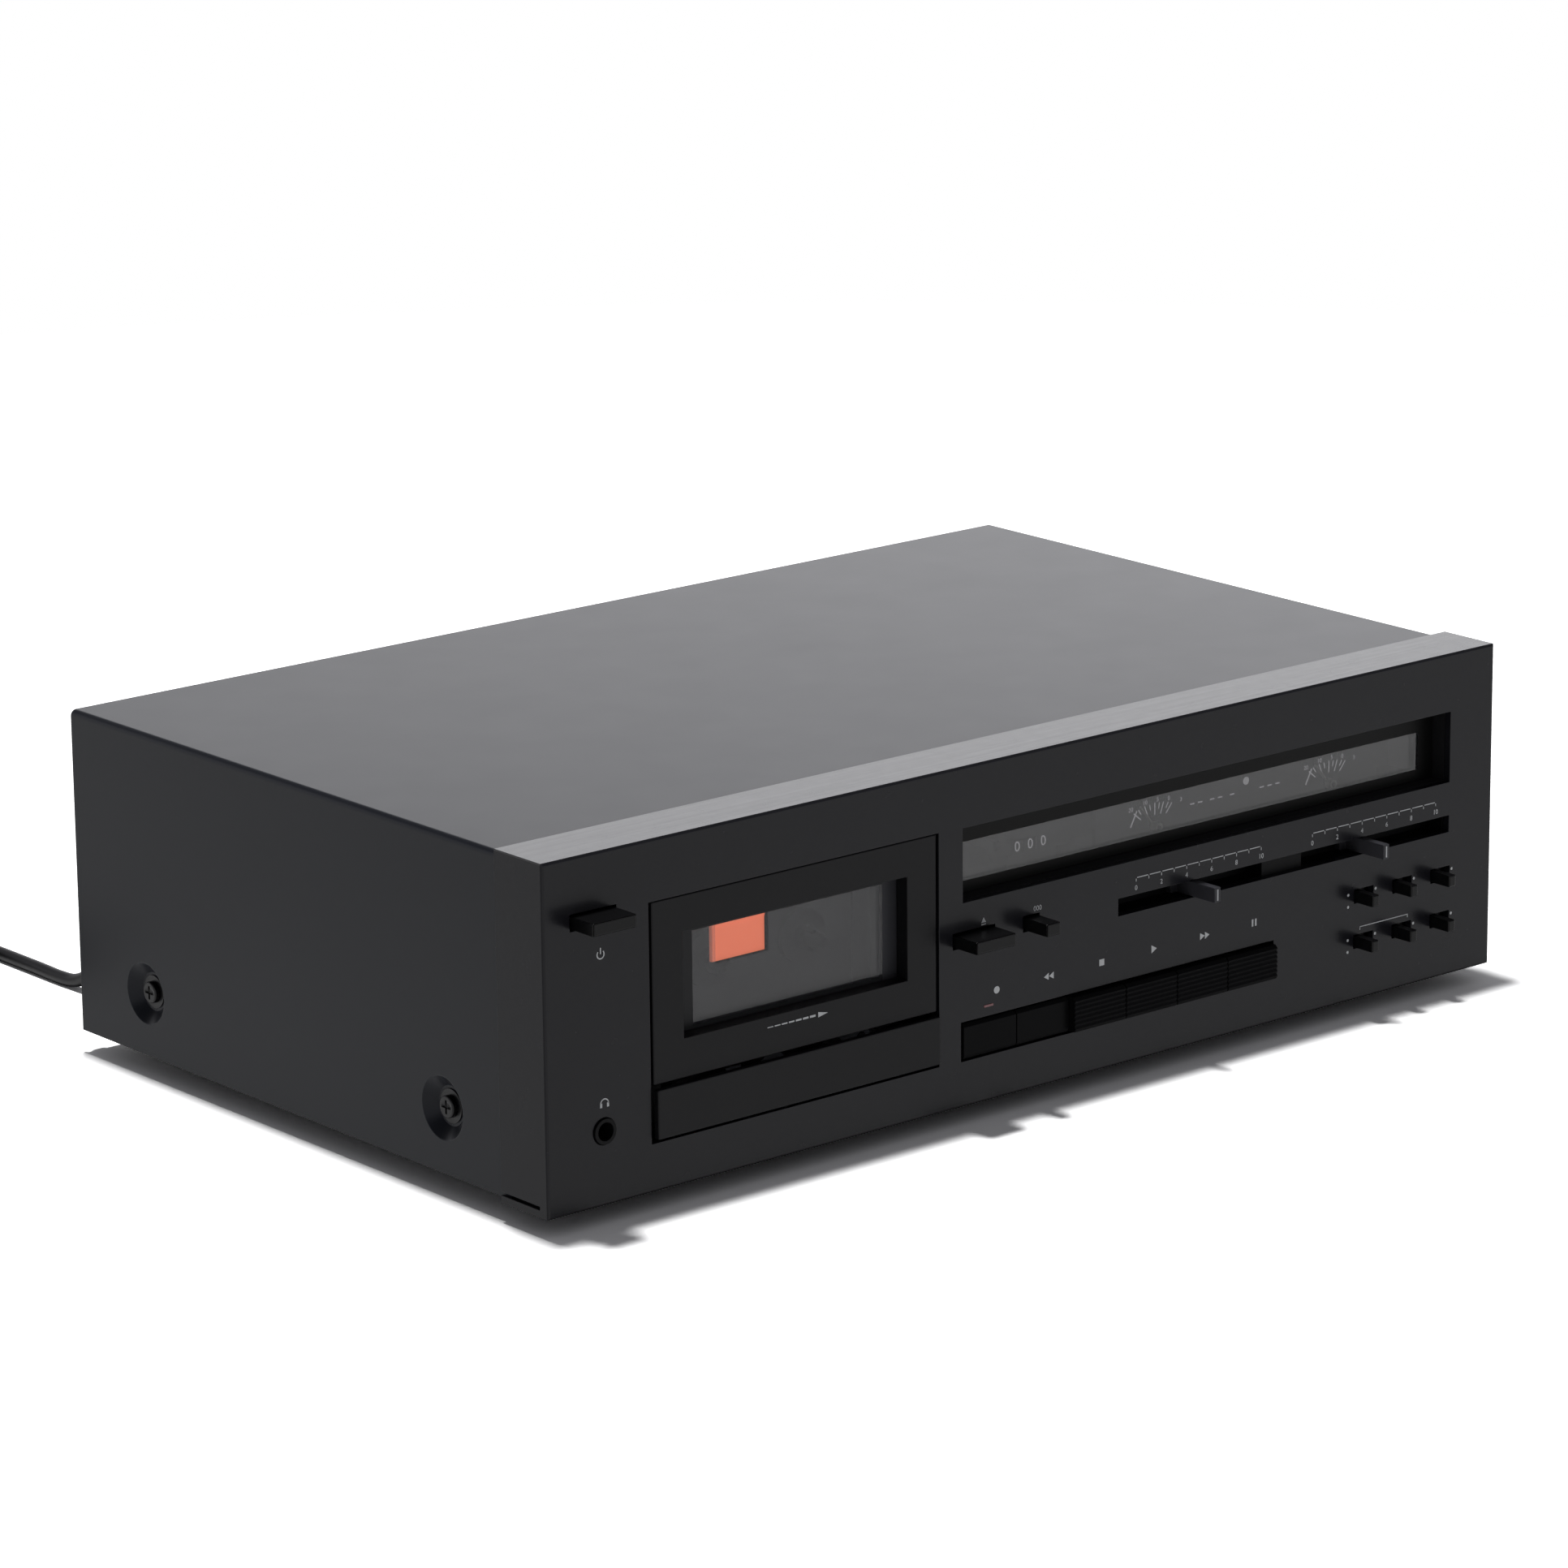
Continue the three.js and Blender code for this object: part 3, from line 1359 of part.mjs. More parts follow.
// Control board: a board behind the panel with the level rail, the switch bodies and the key guide
function makeControlBoard() {
  const left = levelSlotLeft - slideGap - levelFootLength;
  const right = innerRight - sheet * 2;
  const boardSpan = [floorTop + seatGap, levelSlotTop + railHeight / 2];
  const board = block([keySlotLeft, right], [boardSetback, boardBack], boardSpan);
  const railMiddle = levelSlotBottom + levelSlotHeight / 2;
  const railSpan = [railMiddle - railHeight / 2, railMiddle + railHeight / 2];
  const rail = block([left, right - sheet], [railFront, boardSetback + overrun], railSpan);
  const pocketSpan = [levelSlotBottom, levelSlotTop];
  const pockets = [
    block([levelSlotLeft + levelPocketMargin, webLeft], [railFront - overrun, pocketFloor], pocketSpan),
    block([webRight, levelSlotRight - levelPocketMargin], [railFront - overrun, pocketFloor], pocketSpan),
  ];
  const bodies = switchNumbers.map((number) => {
    const [x, z] = switchCentre(number);
    const front = panelBack + switchStemLength + meetGap;
    return block(
      [x - switchBodyWidth / 2, x + switchBodyWidth / 2],
      [front, boardSetback + overrun],
      [z - switchBodyHeight / 2, z + switchBodyHeight / 2],
    );
  });
  place("control_board", joined(board, rail.subtract(joined(...pockets)), ...bodies), "board");
}

// Headphone socket: a body behind the panel and a bush with a deep bore through it
function makePhones() {
  const half = phonesBodySize / 2;
  const body = block(
    [phonesX - half, phonesX + half],
    [panelBack, panelBack + phonesBodyLength],
    [phonesRise - half, phonesRise + half],
  );
  const bushRun = [-phonesProud, panelBack + overrun];
  const bush = roundAlongY(phonesX, phonesRise, phonesBushRadius, bushRun, roundSides);
  const boreRun = [-phonesProud - overrun, phonesBoreDepth - phonesProud];
  const bore = roundAlongY(phonesX, phonesRise, phonesBoreRadius, boreRun, roundSides);
  place("phones_jack", cutBy(joined(body, bush), bore), "trim");
}

// Main board on standoffs, with filter capacitors and a finned heatsink
function makeMainBoard() {
  const right = mainBoardLeft + mainBoardWidth;
  const back = mainBoardBack;
  const boardSpan = [mainBoardRise, mainBoardRise + boardThickness];
  const board = block([mainBoardLeft, right], [mainBoardFront, back], boardSpan);
  const posts = [mainBoardLeft + standoffInset, right - standoffInset].flatMap((x) =>
    [mainBoardFront + standoffInset, back - standoffInset].map((y) =>
      roundAlongZ(x, y, standoffRadius, [floorTop + seatGap, mainBoardRise + boardThickness / 2]),
    ),
  );
  const top = mainBoardRise + boardThickness / 2;
  const cans = Array.from({ length: capacitorCount }, (_, number) => {
    const y = back - (number + 1) * capacitorPitch;
    return roundAlongZ(right - capacitorPitch, y, capacitorRadius, [top, top + capacitorHeight]);
  });
  const sinkLeft = mainBoardLeft + capacitorPitch;
  const sinkBack = back - standoffInset * 2;
  const sinkRun = [sinkLeft, sinkLeft + heatsinkWidth];
  const sink = block(sinkRun, [sinkBack - heatsinkDepth, sinkBack], [top, top + heatsinkHeight]);
  const fins = Array.from({ length: capacitorCount }, (_, number) => {
    const x = sinkLeft + ((number + 1) * heatsinkWidth) / (capacitorCount + 1);
    return block(
      [x - sheet, x + sheet],
      [sinkBack - heatsinkDepth / 2, sinkBack + overrun],
      [top + heatsinkDepth, top + heatsinkHeight + overrun],
    );
  });
  place("main_board", joined(board, ...posts, ...cans, cutBy(sink, ...fins)), "board");
}

// Power transformer: a laminated core with its winding, on two bolted feet
function makeTransformer() {
  const base = floorTop + seatGap;
  const middle = transformerFront + windingDepth / 2;
  const centre = transformerLeft + coreWidth / 2;
  const core = block(
    [transformerLeft, transformerLeft + coreWidth],
    [middle - coreDepth / 2, middle + coreDepth / 2],
    [base, base + coreHeight],
  );
  const winding = block(
    [centre - windingWidth / 2, centre + windingWidth / 2],
    [transformerFront, transformerFront + windingDepth],
    [base + (coreHeight - windingHeight) / 2, base + (coreHeight + windingHeight) / 2],
  );
  const feet = block(
    [transformerLeft - coreFootReach, transformerLeft + coreWidth + coreFootReach],
    [middle - coreDepth / 4, middle + coreDepth / 4],
    [base, base + coreFootThickness],
  );
  place("power_transformer", joined(core, winding, feet), "steel");
}

// Line sockets: four phono sockets on one insulating plate, through the rear panel
function makeLineSockets() {
  const left = socketPlaces[socketCount - 1] - socketPlateMargin;
  const right = socketPlaces[0] + socketPlateMargin;
  const plate = block(
    [left, right],
    [rearPanelFront - seatGap - socketPlateThickness, rearPanelFront - seatGap],
    [socketRise - socketPlateHeight / 2, socketRise + socketPlateHeight / 2],
  );
  const pieces = [plate];
  const bores = [];
  for (const x of socketPlaces) {
    const collarRun = [rearPanelFront - overrun, bodyDepth + socketCollar];
    const boreRun = [bodyDepth, bodyDepth + socketReach + overrun];
    pieces.push(roundAlongY(x, socketRise, socketCollarRadius, collarRun));
    pieces.push(roundAlongY(x, socketRise, socketRadius, [rearPanelFront, bodyDepth + socketReach]));
    bores.push(roundAlongY(x, socketRise, socketPinRadius, boreRun));
  }
  place("line_sockets", cutBy(joined(...pieces), ...bores), "bright");
}

// Strain relief: a flange outside the rear panel, a nut inside it and a tapered sleeve along the lead
const reliefTip = bodyDepth + reliefFlange + reliefLength;

function makeStrainRelief() {
  const flangeFront = rearPanelBack + seatGap;
  const nutBack = rearPanelFront - seatGap;
  const relief = turnedAlongY(
    reliefX,
    reliefRise,
    [
      [0, nutBack - reliefNut],
      [reliefNutRadius, nutBack - reliefNut],
      [reliefNutRadius, nutBack],
      [reliefNeckRadius, nutBack],
      [reliefNeckRadius, flangeFront],
      [reliefFlangeRadius, flangeFront],
      [reliefFlangeRadius, bodyDepth + reliefFlange],
      [reliefRootRadius, bodyDepth + reliefFlange],
      [reliefTipRadius, reliefTip],
      [0, reliefTip],
    ],
    smallSides,
  );
  place("strain_relief", relief, "rubber");
}

// Mains lead: its free stretch, straight out of the strain relief, down to the floor in two even bends
// and straight back along the floor to the coil
const leadDrop = reliefRise - leadAxisZ;
const leadBendAngle = Math.acos(1 - leadDrop / (leadBend * 2));
const leadFallRun = leadBend * Math.sin(leadBendAngle) * 2;

function leadCurve() {
  const start = reliefTip + meetGap;
  const fall = start + leadStub;
  const end = coilCentreY - leadDiameter - meetGap;
  const points = [
    new THREE.Vector3(reliefX, start, reliefRise),
    new THREE.Vector3(reliefX, fall, reliefRise),
  ];
  for (let step = 1; step <= leadBendSteps * 2; step += 1) {
    const turned = leadBendAngle * (1 - Math.abs(1 - step / leadBendSteps));
    const run = leadBend * Math.sin(turned);
    const sink = leadBend * (1 - Math.cos(turned));
    const second = step > leadBendSteps;
    const y = second ? fall + leadFallRun - run : fall + run;
    const z = second ? leadAxisZ + sink : reliefRise - sink;
    points.push(new THREE.Vector3(reliefX + (leadShift * (y - fall)) / leadFallRun, y, z));
  }
  const landed = fall + leadFallRun;
  for (let step = 1; step <= leadFloorSteps; step += 1) {
    const y = landed + ((end - landed) * step) / leadFloorSteps;
    points.push(new THREE.Vector3(reliefX + leadShift, y, leadAxisZ));
  }
  return new THREE.CatmullRomCurve3(points);
}

function makeLead() {
  const curve = leadCurve();
  const section = new THREE.Shape();
  for (let corner = 0; corner < leadSides; corner += 1) {
    const angle = ((corner + 1 / 2) * 2 * Math.PI) / leadSides;
    const x = (leadDiameter / 2) * Math.cos(angle);
    const y = (leadDiameter / 2) * Math.sin(angle);
    if (corner === 0) section.moveTo(x, y);
    else section.lineTo(x, y);
  }
  section.closePath();
  const settings = { steps: leadSteps, extrudePath: curve, bevelEnabled: false };
  const tube = new THREE.ExtrudeGeometry(section, settings);
  place("mains_lead", solidOf(tube), "lead");
}

// Coil: the lead spirals in along the floor, climbs a layer in half a turn and spirals out again
function coilPoints() {
  const points = [];
  const startX = coilCentreX + coilRadius;
  points.push(new THREE.Vector3(startX, coilCentreY - leadDiameter, leadAxisZ));
  const spiralSteps = coilTurns * coilStepsPerTurn;
  const climbSteps = coilStepsPerTurn / 2;
  const total = spiralSteps * 2 + climbSteps;
  for (let step = 0; step <= total; step += 1) {
    const angle = (step * 2 * Math.PI) / coilStepsPerTurn;
    const inward = (total / 2 - Math.abs(step - total / 2)) / coilStepsPerTurn;
    const radius = coilRadius - coilPitch * inward;
    const climb = Math.min(Math.max((step - spiralSteps) / climbSteps, 0), 1);
    const height = leadAxisZ + coilPitch * climb;
    const x = coilCentreX + radius * Math.cos(angle);
    const y = coilCentreY + radius * Math.sin(angle);
    points.push(new THREE.Vector3(x, y, height));
  }
  const last = points[points.length - 1];
  points.push(new THREE.Vector3(last.x, last.y - coilTail + leadDiameter, last.z));
  points.push(new THREE.Vector3(last.x, last.y - coilTail, last.z));
  return points;
}

// A tube of flat-sided rings along points, its first and last ring square to its ends
function ringTube(points, radius, sides) {
  const positions = [];
  const faces = [];
  const up = new THREE.Vector3(0, 0, 1);
  points.forEach((point, number) => {
    const before = points[Math.max(number - 1, 0)];
    const after = points[Math.min(number + 1, points.length - 1)];
    const along = after.clone().sub(before).normalize();
    const side = along.clone().cross(up).normalize();
    const top = side.clone().cross(along).normalize();
    for (let corner = 0; corner < sides; corner += 1) {
      const angle = ((corner + 1 / 2) * 2 * Math.PI) / sides;
      const out = side.clone().multiplyScalar(radius * Math.cos(angle));
      out.addScaledVector(top, radius * Math.sin(angle)).add(point);
      positions.push(out.x, out.y, out.z);
    }
  });
  for (let ring = 0; ring < points.length - 1; ring += 1) {
    for (let corner = 0; corner < sides; corner += 1) {
      const next = (corner + 1) % sides;
      const [a, b] = [ring * sides + corner, ring * sides + next];
      faces.push(a, b, b + sides, a, b + sides, a + sides);
    }
  }
  const lastRing = (points.length - 1) * sides;
  for (let corner = 1; corner < sides - 1; corner += 1) {
    faces.push(0, corner + 1, corner);
    faces.push(lastRing, lastRing + corner, lastRing + corner + 1);
  }
  const geometry = new THREE.BufferGeometry();
  geometry.setAttribute("position", new THREE.Float32BufferAttribute(positions, 3));
  geometry.setIndex(faces);
  return solidOf(geometry);
}

// The least clear gap between turns of the coil, measured on its points well apart along the lead
function leastGap(points) {
  const run = new THREE.CurvePath();
  for (let i = 1; i < points.length; i += 1) run.add(new THREE.LineCurve3(points[i - 1], points[i]));
  const fine = run.getSpacedPoints(points.length * gapSamples);
  const apart = Math.ceil((leadDiameter * gapSamples) / fine[0].distanceTo(fine[1]));
  let least = Infinity;
  for (let i = 0; i < fine.length; i += 1) {
    for (let j = i + apart; j < fine.length; j += 1) least = Math.min(least, fine[i].distanceTo(fine[j]));
  }
  return least - leadDiameter;
}

function makeCoil() {
  const points = coilPoints();
  place("lead_coil", ringTube(points, leadDiameter / 2, coilSides), "lead");
  const coilLength = new THREE.CatmullRomCurve3(points).getLength();
  const leadLength = leadCurve().getLength();
  console.log("coil: least gap to itself, mm", leastGap(points).toFixed(2));
  console.log("lead: free stretch, coil and tail, mm", (leadLength + coilLength).toFixed(0));
  return points[points.length - 1];
}

// Plug: a tapered two-blade body, lying on the floor at the end of the lead
function makePlug(end) {
  const back = end.y - meetGap;
  const outline = [
    [end.x - plugTipWidth / 2, back],
    [end.x + plugTipWidth / 2, back],
    [end.x + plugWidth / 2, back - plugLength / 2],
    [end.x + plugWidth / 2, back - plugLength],
    [end.x - plugWidth / 2, back - plugLength],
    [end.x - plugWidth / 2, back - plugLength / 2],
  ].reverse();
  const body = drawnAlongZ(outline, [soleZ, soleZ + plugHeight]);
  const middle = soleZ + plugHeight / 2;
  const blades = [-bladeSpacing / 2, bladeSpacing / 2].map((offset) =>
    block(
      [end.x + offset - bladeThickness / 2, end.x + offset + bladeThickness / 2],
      [back - plugLength - bladeLength, back - plugLength + overrun],
      [middle - bladeWidth / 2, middle + bladeWidth / 2],
    ),
  );
  place("mains_plug", joined(body, ...blades), "rubber");
}

makeFrontPanel();
makeCover();
makeCoverScrews();
makeChassis();
makeRearPanel();
makeFeet();
makeDoor();
makeHolder();
makeTransportPlate();
makeSpindle("supply_spindle", supplyX);
makeSpindle("takeup_spindle", takeupX);
makeCapstan();
makeMotor();
makeBelt();
makePinch();
makeHeadBridge();
makeDisplay();
makeButton("power_button", powerLeft, buttonWidth, powerBottom);
makeButton("eject_button", ejectLeft, buttonWidth, ejectBottom);
makeButton("counter_reset_button", resetLeft, resetWidth, ejectBottom);
makeKeys();
makeLevelSlider("level_slider_left", levelSlotLeft + levelPocketWidth * leftKnobShare);
makeLevelSlider("level_slider_right", webRight + levelPocketWidth * rightKnobShare);
switchNumbers.forEach(makeSwitch);
makeControlBoard();
makePhones();
makeMainBoard();
makeTransformer();
makeLineSockets();
makeStrainRelief();
makeLead();
makePlug(makeCoil());

export default deck;
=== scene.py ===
"""A black front-loading cassette deck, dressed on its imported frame.

Lengths are in metres, and a field that ends in _mm is in millimetres. A place on the front is
given from the front panel's lower left front corner: x to the right, y to the rear, z up.
"""
import logging
import math
from dataclasses import dataclass, field
from enum import Enum
from typing import Callable, Iterable

import bpy
from mathutils import Matrix, Vector


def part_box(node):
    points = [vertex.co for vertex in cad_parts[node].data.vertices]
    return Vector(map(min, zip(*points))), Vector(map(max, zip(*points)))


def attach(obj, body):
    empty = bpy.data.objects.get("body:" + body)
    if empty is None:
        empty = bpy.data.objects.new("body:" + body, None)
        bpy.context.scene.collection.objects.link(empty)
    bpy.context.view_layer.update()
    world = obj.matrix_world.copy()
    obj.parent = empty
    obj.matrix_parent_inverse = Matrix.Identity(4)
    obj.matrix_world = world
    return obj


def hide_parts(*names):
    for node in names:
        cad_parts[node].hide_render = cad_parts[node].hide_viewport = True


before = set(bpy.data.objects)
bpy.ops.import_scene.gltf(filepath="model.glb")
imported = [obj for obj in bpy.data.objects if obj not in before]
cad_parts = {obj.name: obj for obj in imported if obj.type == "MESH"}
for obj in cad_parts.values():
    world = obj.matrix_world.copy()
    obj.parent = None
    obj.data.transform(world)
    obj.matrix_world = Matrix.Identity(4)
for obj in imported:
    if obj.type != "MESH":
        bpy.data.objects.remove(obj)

log = logging.getLogger("cassette_deck")

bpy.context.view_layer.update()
MM = 0.001
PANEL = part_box("front_panel")
FACE_MARGIN = 0.5 * MM  # how far inside the panel's faces their coats end
INK_THICKNESS = 0.05 * MM
SATIN_DEPTH = 0.004 * MM  # the depth of a satin finish's grain
WELD_REACH = 0.01 * MM  # points nearer than this are merged
FLAT_ANGLE = math.radians(0.4)  # faces that meet flatter than this become one
FIGURE_SHARE = 0.72  # a figure's height as a share of its font size
TURNED_EDGE = 40.0  # the least angle of a turned piece's edges, in degrees
MOULDED_EDGE = 35.0  # the same for a moulded piece
KEYS = ("record", "rewind", "stop", "play", "forward", "pause")
ENDS = ("front", "rear")
SIDES = ("left", "right")

Colour = tuple[float, float, float, float]
Sizes = tuple[float, ...]
WHITE: Colour = (1.0, 1.0, 1.0, 1.0)


def rgb(code: str) -> Colour:
    """Gives the linear colour of a six-digit screen colour.

    Args:
        code: Its red, green and blue, two hexadecimal digits each.

    Returns:
        The colour, opaque.
    """
    parts = [int(code[i : i + 2], 16) / 255 for i in (0, 2, 4)]
    linear = [p / 12.92 if p <= 0.04045 else ((p + 0.055) / 1.055) ** 2.4 for p in parts]
    return (*linear, 1.0)


def on_front(x: float, z: float, y: float = 0.0) -> Vector:
    """Turns millimetres from the front panel's lower left front corner into a place.

    Args:
        x: Distance to the right, in mm.
        z: Height, in mm.
        y: Distance to the rear, in mm.

    Returns:
        The place in metres.
    """
    return PANEL[0] + Vector((x, y, z)) * MM


def middle_of(node: str) -> Vector:
    """Gives the middle of a CAD node's box."""
    low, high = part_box(node)
    return (low + high) / 2


class Signal:
    """A shader socket that can stand in sums, differences, products and comparisons."""

    def __init__(self, graph: "Graph", socket: bpy.types.NodeSocket) -> None:
        """Wraps one output socket of a graph."""
        self.graph = graph
        self.socket = socket

    def _maths(self, operation: str, first: object, second: object) -> "Signal":
        """Adds a Math node and gives its result."""
        return self.graph.node("ShaderNodeMath", {"operation": operation}, {0: first, 1: second})

    def __add__(self, other: object) -> "Signal":
        """Adds a value or a signal."""
        return self._maths("ADD", self, other)

    __radd__ = __add__

    def __mul__(self, other: object) -> "Signal":
        """Multiplies by a value or a signal."""
        return self._maths("MULTIPLY", self, other)

    __rmul__ = __mul__

    def __sub__(self, other: object) -> "Signal":
        """Takes a value or a signal away."""
        return self._maths("SUBTRACT", self, other)

    def __rsub__(self, other: object) -> "Signal":
        """Takes this signal away from a value."""
        return self._maths("SUBTRACT", other, self)

    def __gt__(self, other: object) -> "Signal":
        """Gives 1 where this signal is above a value, else 0."""
        return self._maths("GREATER_THAN", self, other)

    def __lt__(self, other: object) -> "Signal":
        """Gives 1 where this signal is below a value, else 0."""
        return self._maths("LESS_THAN", self, other)

    def larger(self, other: object) -> "Signal":
        """Gives the larger of this signal and another."""
        return self._maths("MAXIMUM", self, other)


class Graph:
    """The node tree of one material or of the world."""

    def __init__(self, owner: bpy.types.ID, output: str) -> None:
        """Empties the owner's tree and adds its output node.

        Args:
            owner: A material or a world.
            output: The output node's type.
        """
        owner.use_nodes = True
        self.tree = owner.node_tree
        self.tree.nodes.clear()
        self.out = self.tree.nodes.new(output)

    def node(
        self,
        kind: str,
        settings: dict[str, object] | None = None,
        inputs: dict[str | int, object] | None = None,
        output: str | int = 0,
    ) -> Signal:
        """Adds a node, settings first and then its sockets.

        Args:
            kind: The node's type.
            settings: Its settings. The key stops holds a ramp's places and colours.
            inputs: Values or signals by socket name or number.
            output: The output socket's name or number.

        Returns:
            The signal of that output.
        """
        made = self.tree.nodes.new(kind)
        for name, value in (settings or {}).items():
            if name == "stops":
                self._set_stops(made.color_ramp, value)
            else:
                setattr(made, name, value)
        for name, value in (inputs or {}).items():
            if isinstance(value, Signal):
                self.tree.links.new(value.socket, made.inputs[name])
            else:
                made.inputs[name].default_value = value
        return Signal(self, made.outputs[output])

    @staticmethod
    def _set_stops(ramp: bpy.types.ColorRamp, stops: Iterable[tuple[float, Colour]]) -> None:
        """Sets a colour ramp's stops.

        Args:
            ramp: The ramp, which starts with two stops.
            stops: Each stop's place and colour.
        """
        for number, (place, colour) in enumerate(stops):
            element = ramp.elements[number] if number < 2 else ramp.elements.new(place)
            element.position = place
            element.color = colour

    def place(self, scale: Sizes = (1, 1, 1), shift: Vector | None = None) -> Signal:
        """Gives the piece's own coordinates, stretched along each axis and shifted.

        Args:
            scale: The factor along each axis.
            shift: What is added after that.

        Returns:
            The coordinates.
        """
        where = self.node("ShaderNodeTexCoord", output="Object")
        inputs = {"Vector": where, "Scale": scale, "Location": tuple(shift or (0, 0, 0))}
        return self.node("ShaderNodeMapping", None, inputs)

    def reach(self, x: float, z: float) -> Signal:
        """Gives the distance from an axis along Y, at a place across and up."""
        centred = self.place((1, 0, 1), -Vector((x, 0, z)))
        return self.node("ShaderNodeVectorMath", {"operation": "LENGTH"}, {0: centred}, "Value")

    def own(self, axis: str) -> Signal:
        """Gives one axis of the piece's own coordinates."""
        return self.part(self.node("ShaderNodeTexCoord", output="Object"), axis)

    def bump(self, height: Signal, depth: float) -> Signal:
        """Gives the normal over a surface of a height and a depth."""
        return self.node("ShaderNodeBump", None, {"Height": height, "Distance": depth})

    def between(self, value: Signal, span: Sizes) -> Signal:
        """Gives how far a value is from the first to the last of a span, from 0 to 1."""
        inputs = {"Value": value, "From Min": span[0], "From Max": span[1]}
        return self.node("ShaderNodeMapRange", None, inputs)

    def principled(self, inputs: dict[str | int, object]) -> Signal:
        """Gives the standard surface shader with some of its sockets set."""
        return self.node("ShaderNodeBsdfPrincipled", None, inputs)

    def part(self, vector: Signal, axis: str) -> Signal:
        """Gives one axis of a vector."""
        return self.node("ShaderNodeSeparateXYZ", None, {0: vector}, axis)

    def noise(self, size: float, detail: float = 2.0, where: Signal | None = None) -> Signal:
        """Gives a noise from 0 to 1 whose grains are about size metres wide."""
        inputs = {"Vector": where or self.place(), "Scale": 1 / size, "Detail": detail}
        return self.node("ShaderNodeTexNoise", None, inputs, "Fac")

    def blend(self, factor: object, first: object, second: object) -> Signal:
        """Mixes two colours by a factor."""
        return self.node("ShaderNodeMix", {"data_type": "RGBA"}, {0: factor, 6: first, 7: second}, 2)

    def finish(self, surface: Signal) -> None:
        """Joins a shader to the output."""
        self.tree.links.new(surface.socket, self.out.inputs["Surface"])


def shade(colour: Colour, factor: float) -> Colour:
    """Gives a colour made lighter or darker by a factor."""
    return (*(min(1.0, part * factor) for part in colour[:3]), 1.0)


@dataclass(frozen=True)
class Finish:
    """A surface with a fine grain, faint mottling and slightly uneven gloss."""

    name: str
    colour: Colour
    roughness: float
    specular: float = 0.5
    metal: float = 0.0
    grain_size: float = 0.5 * MM
    grain_depth: float = 0.01 * MM
    mottle: float = 0.12
    mottle_size: float = 18 * MM
    wear: float = 0.25
    coat: float = 0.0
    coat_roughness: float = 0.12
    opacity: float = 1.0
    # Emission: the record lamp's own light, and painted light on the orange block, the dial print, the
    # counter figures and the needles, which are no lamps
    glow: float = 0.0

    def material(self) -> bpy.types.Material:
        """Gives the finish's material, made once."""
        known = bpy.data.materials.get(self.name)
        return known or self._made()

    def _made(self) -> bpy.types.Material:
        """Makes the material's nodes.

        Returns:
            The new material.
        """
        material = bpy.data.materials.new(self.name)
        graph = Graph(material, "ShaderNodeOutputMaterial")
        graph.finish(self.shader(graph, self.colour_signal(graph), self.height_signal(graph)))
        return material

    def colour_signal(self, graph: Graph) -> Signal:
        """Gives the colour over the surface, here the finish's own with a soft mottling.

        Args:
            graph: The material's nodes.

        Returns:
            The colour.
        """
        cloud = graph.noise(self.mottle_size, 3.0)
        dark, light = shade(self.colour, 1 - self.mottle), shade(self.colour, 1 + self.mottle)
        return graph.blend(cloud, dark, light)

    def height_signal(self, graph: Graph) -> Signal:
        """Gives the height of the grain, from 0 to about 1."""
        return graph.noise(self.grain_size, 3.0)

    def coat_signal(self, graph: Graph) -> object:
        """Gives the weight of the clear coat, here the same all over."""
        return self.coat

    def shader(self, graph: Graph, colour: Signal, height: Signal) -> Signal:
        """Joins a colour and a height to the surface shader.

        Args:
            graph: The material's nodes.
            colour: The colour over the surface.
            height: The height of its grain.

        Returns:
            The shader.
        """
        rub = graph.noise(self.mottle_size / 3, 2.0)
        return graph.principled({
            "Base Color": colour,
            "Roughness": self.roughness + (rub - 0.5) * (self.wear * self.roughness),
            "Metallic": self.metal,
            "Specular IOR Level": self.specular,
            "Coat Weight": self.coat_signal(graph),
            "Coat Roughness": self.coat_roughness,
            "Alpha": self.opacity,
            "Normal": graph.bump(height, self.grain_depth),
            # Emission Strength carries the painted glow of parts that are no lamps
            "Emission Color": self.colour,
            "Emission Strength": self.glow,
        })


@dataclass(frozen=True)
class FacedFinish(Finish):
    """A finish with a clear coat on the front, and a heavier one on the top, streaked along X."""

    front: float = 0.0
    top: float = 0.0
    top_coat: float = 0.0
    streak_size: float = 1.2 * MM
    streak_stretch: float = 0.02
    streak_range: float = 0.6
    streak_least: float = 0.7

    def coat_signal(self, graph: Graph) -> Signal:
        """Gives the coat's weight in front of one place and above another, else 0.

        Args:
            graph: The material's nodes.

        Returns:
            The weight.
        """
        streaks = graph.noise(self.streak_size, 2.0, graph.place((self.streak_stretch, 1, 1)))
        uneven = streaks * self.streak_range + self.streak_least
        on_top = (graph.own("Z") > self.top) * (uneven * self.top_coat)
        return ((graph.own("Y") < self.front) * self.coat).larger(on_top)


@dataclass(frozen=True)
class BrushedFinish(Finish):
    """A metal or lacquer drawn along X, so that its grain is long and thin."""

    stretch: float = 0.03

    def height_signal(self, graph: Graph) -> Signal:
        """Gives a grain that is long along X."""
        return graph.noise(self.grain_size, 3.0, graph.place((self.stretch, 1, 1)))


@dataclass(frozen=True)
class TurnedFinish(Finish):
    """Metal turned in a lathe about an axis along Y, with rings round that axis."""

    centre: Sizes = (0.0, 0.0, 0.0)
    ring: float = 0.5 * MM

    def height_signal(self, graph: Graph) -> Signal:
        """Gives rings round the axis.

        Args:
            graph: The material's nodes.

        Returns:
            The height of the rings.
        """
        turns = graph.reach(self.centre[0], self.centre[2]) * (math.tau / self.ring)
        wave = graph.node("ShaderNodeMath", {"operation": "SINE"}, {0: turns})
        return wave * 0.5 + 0.5


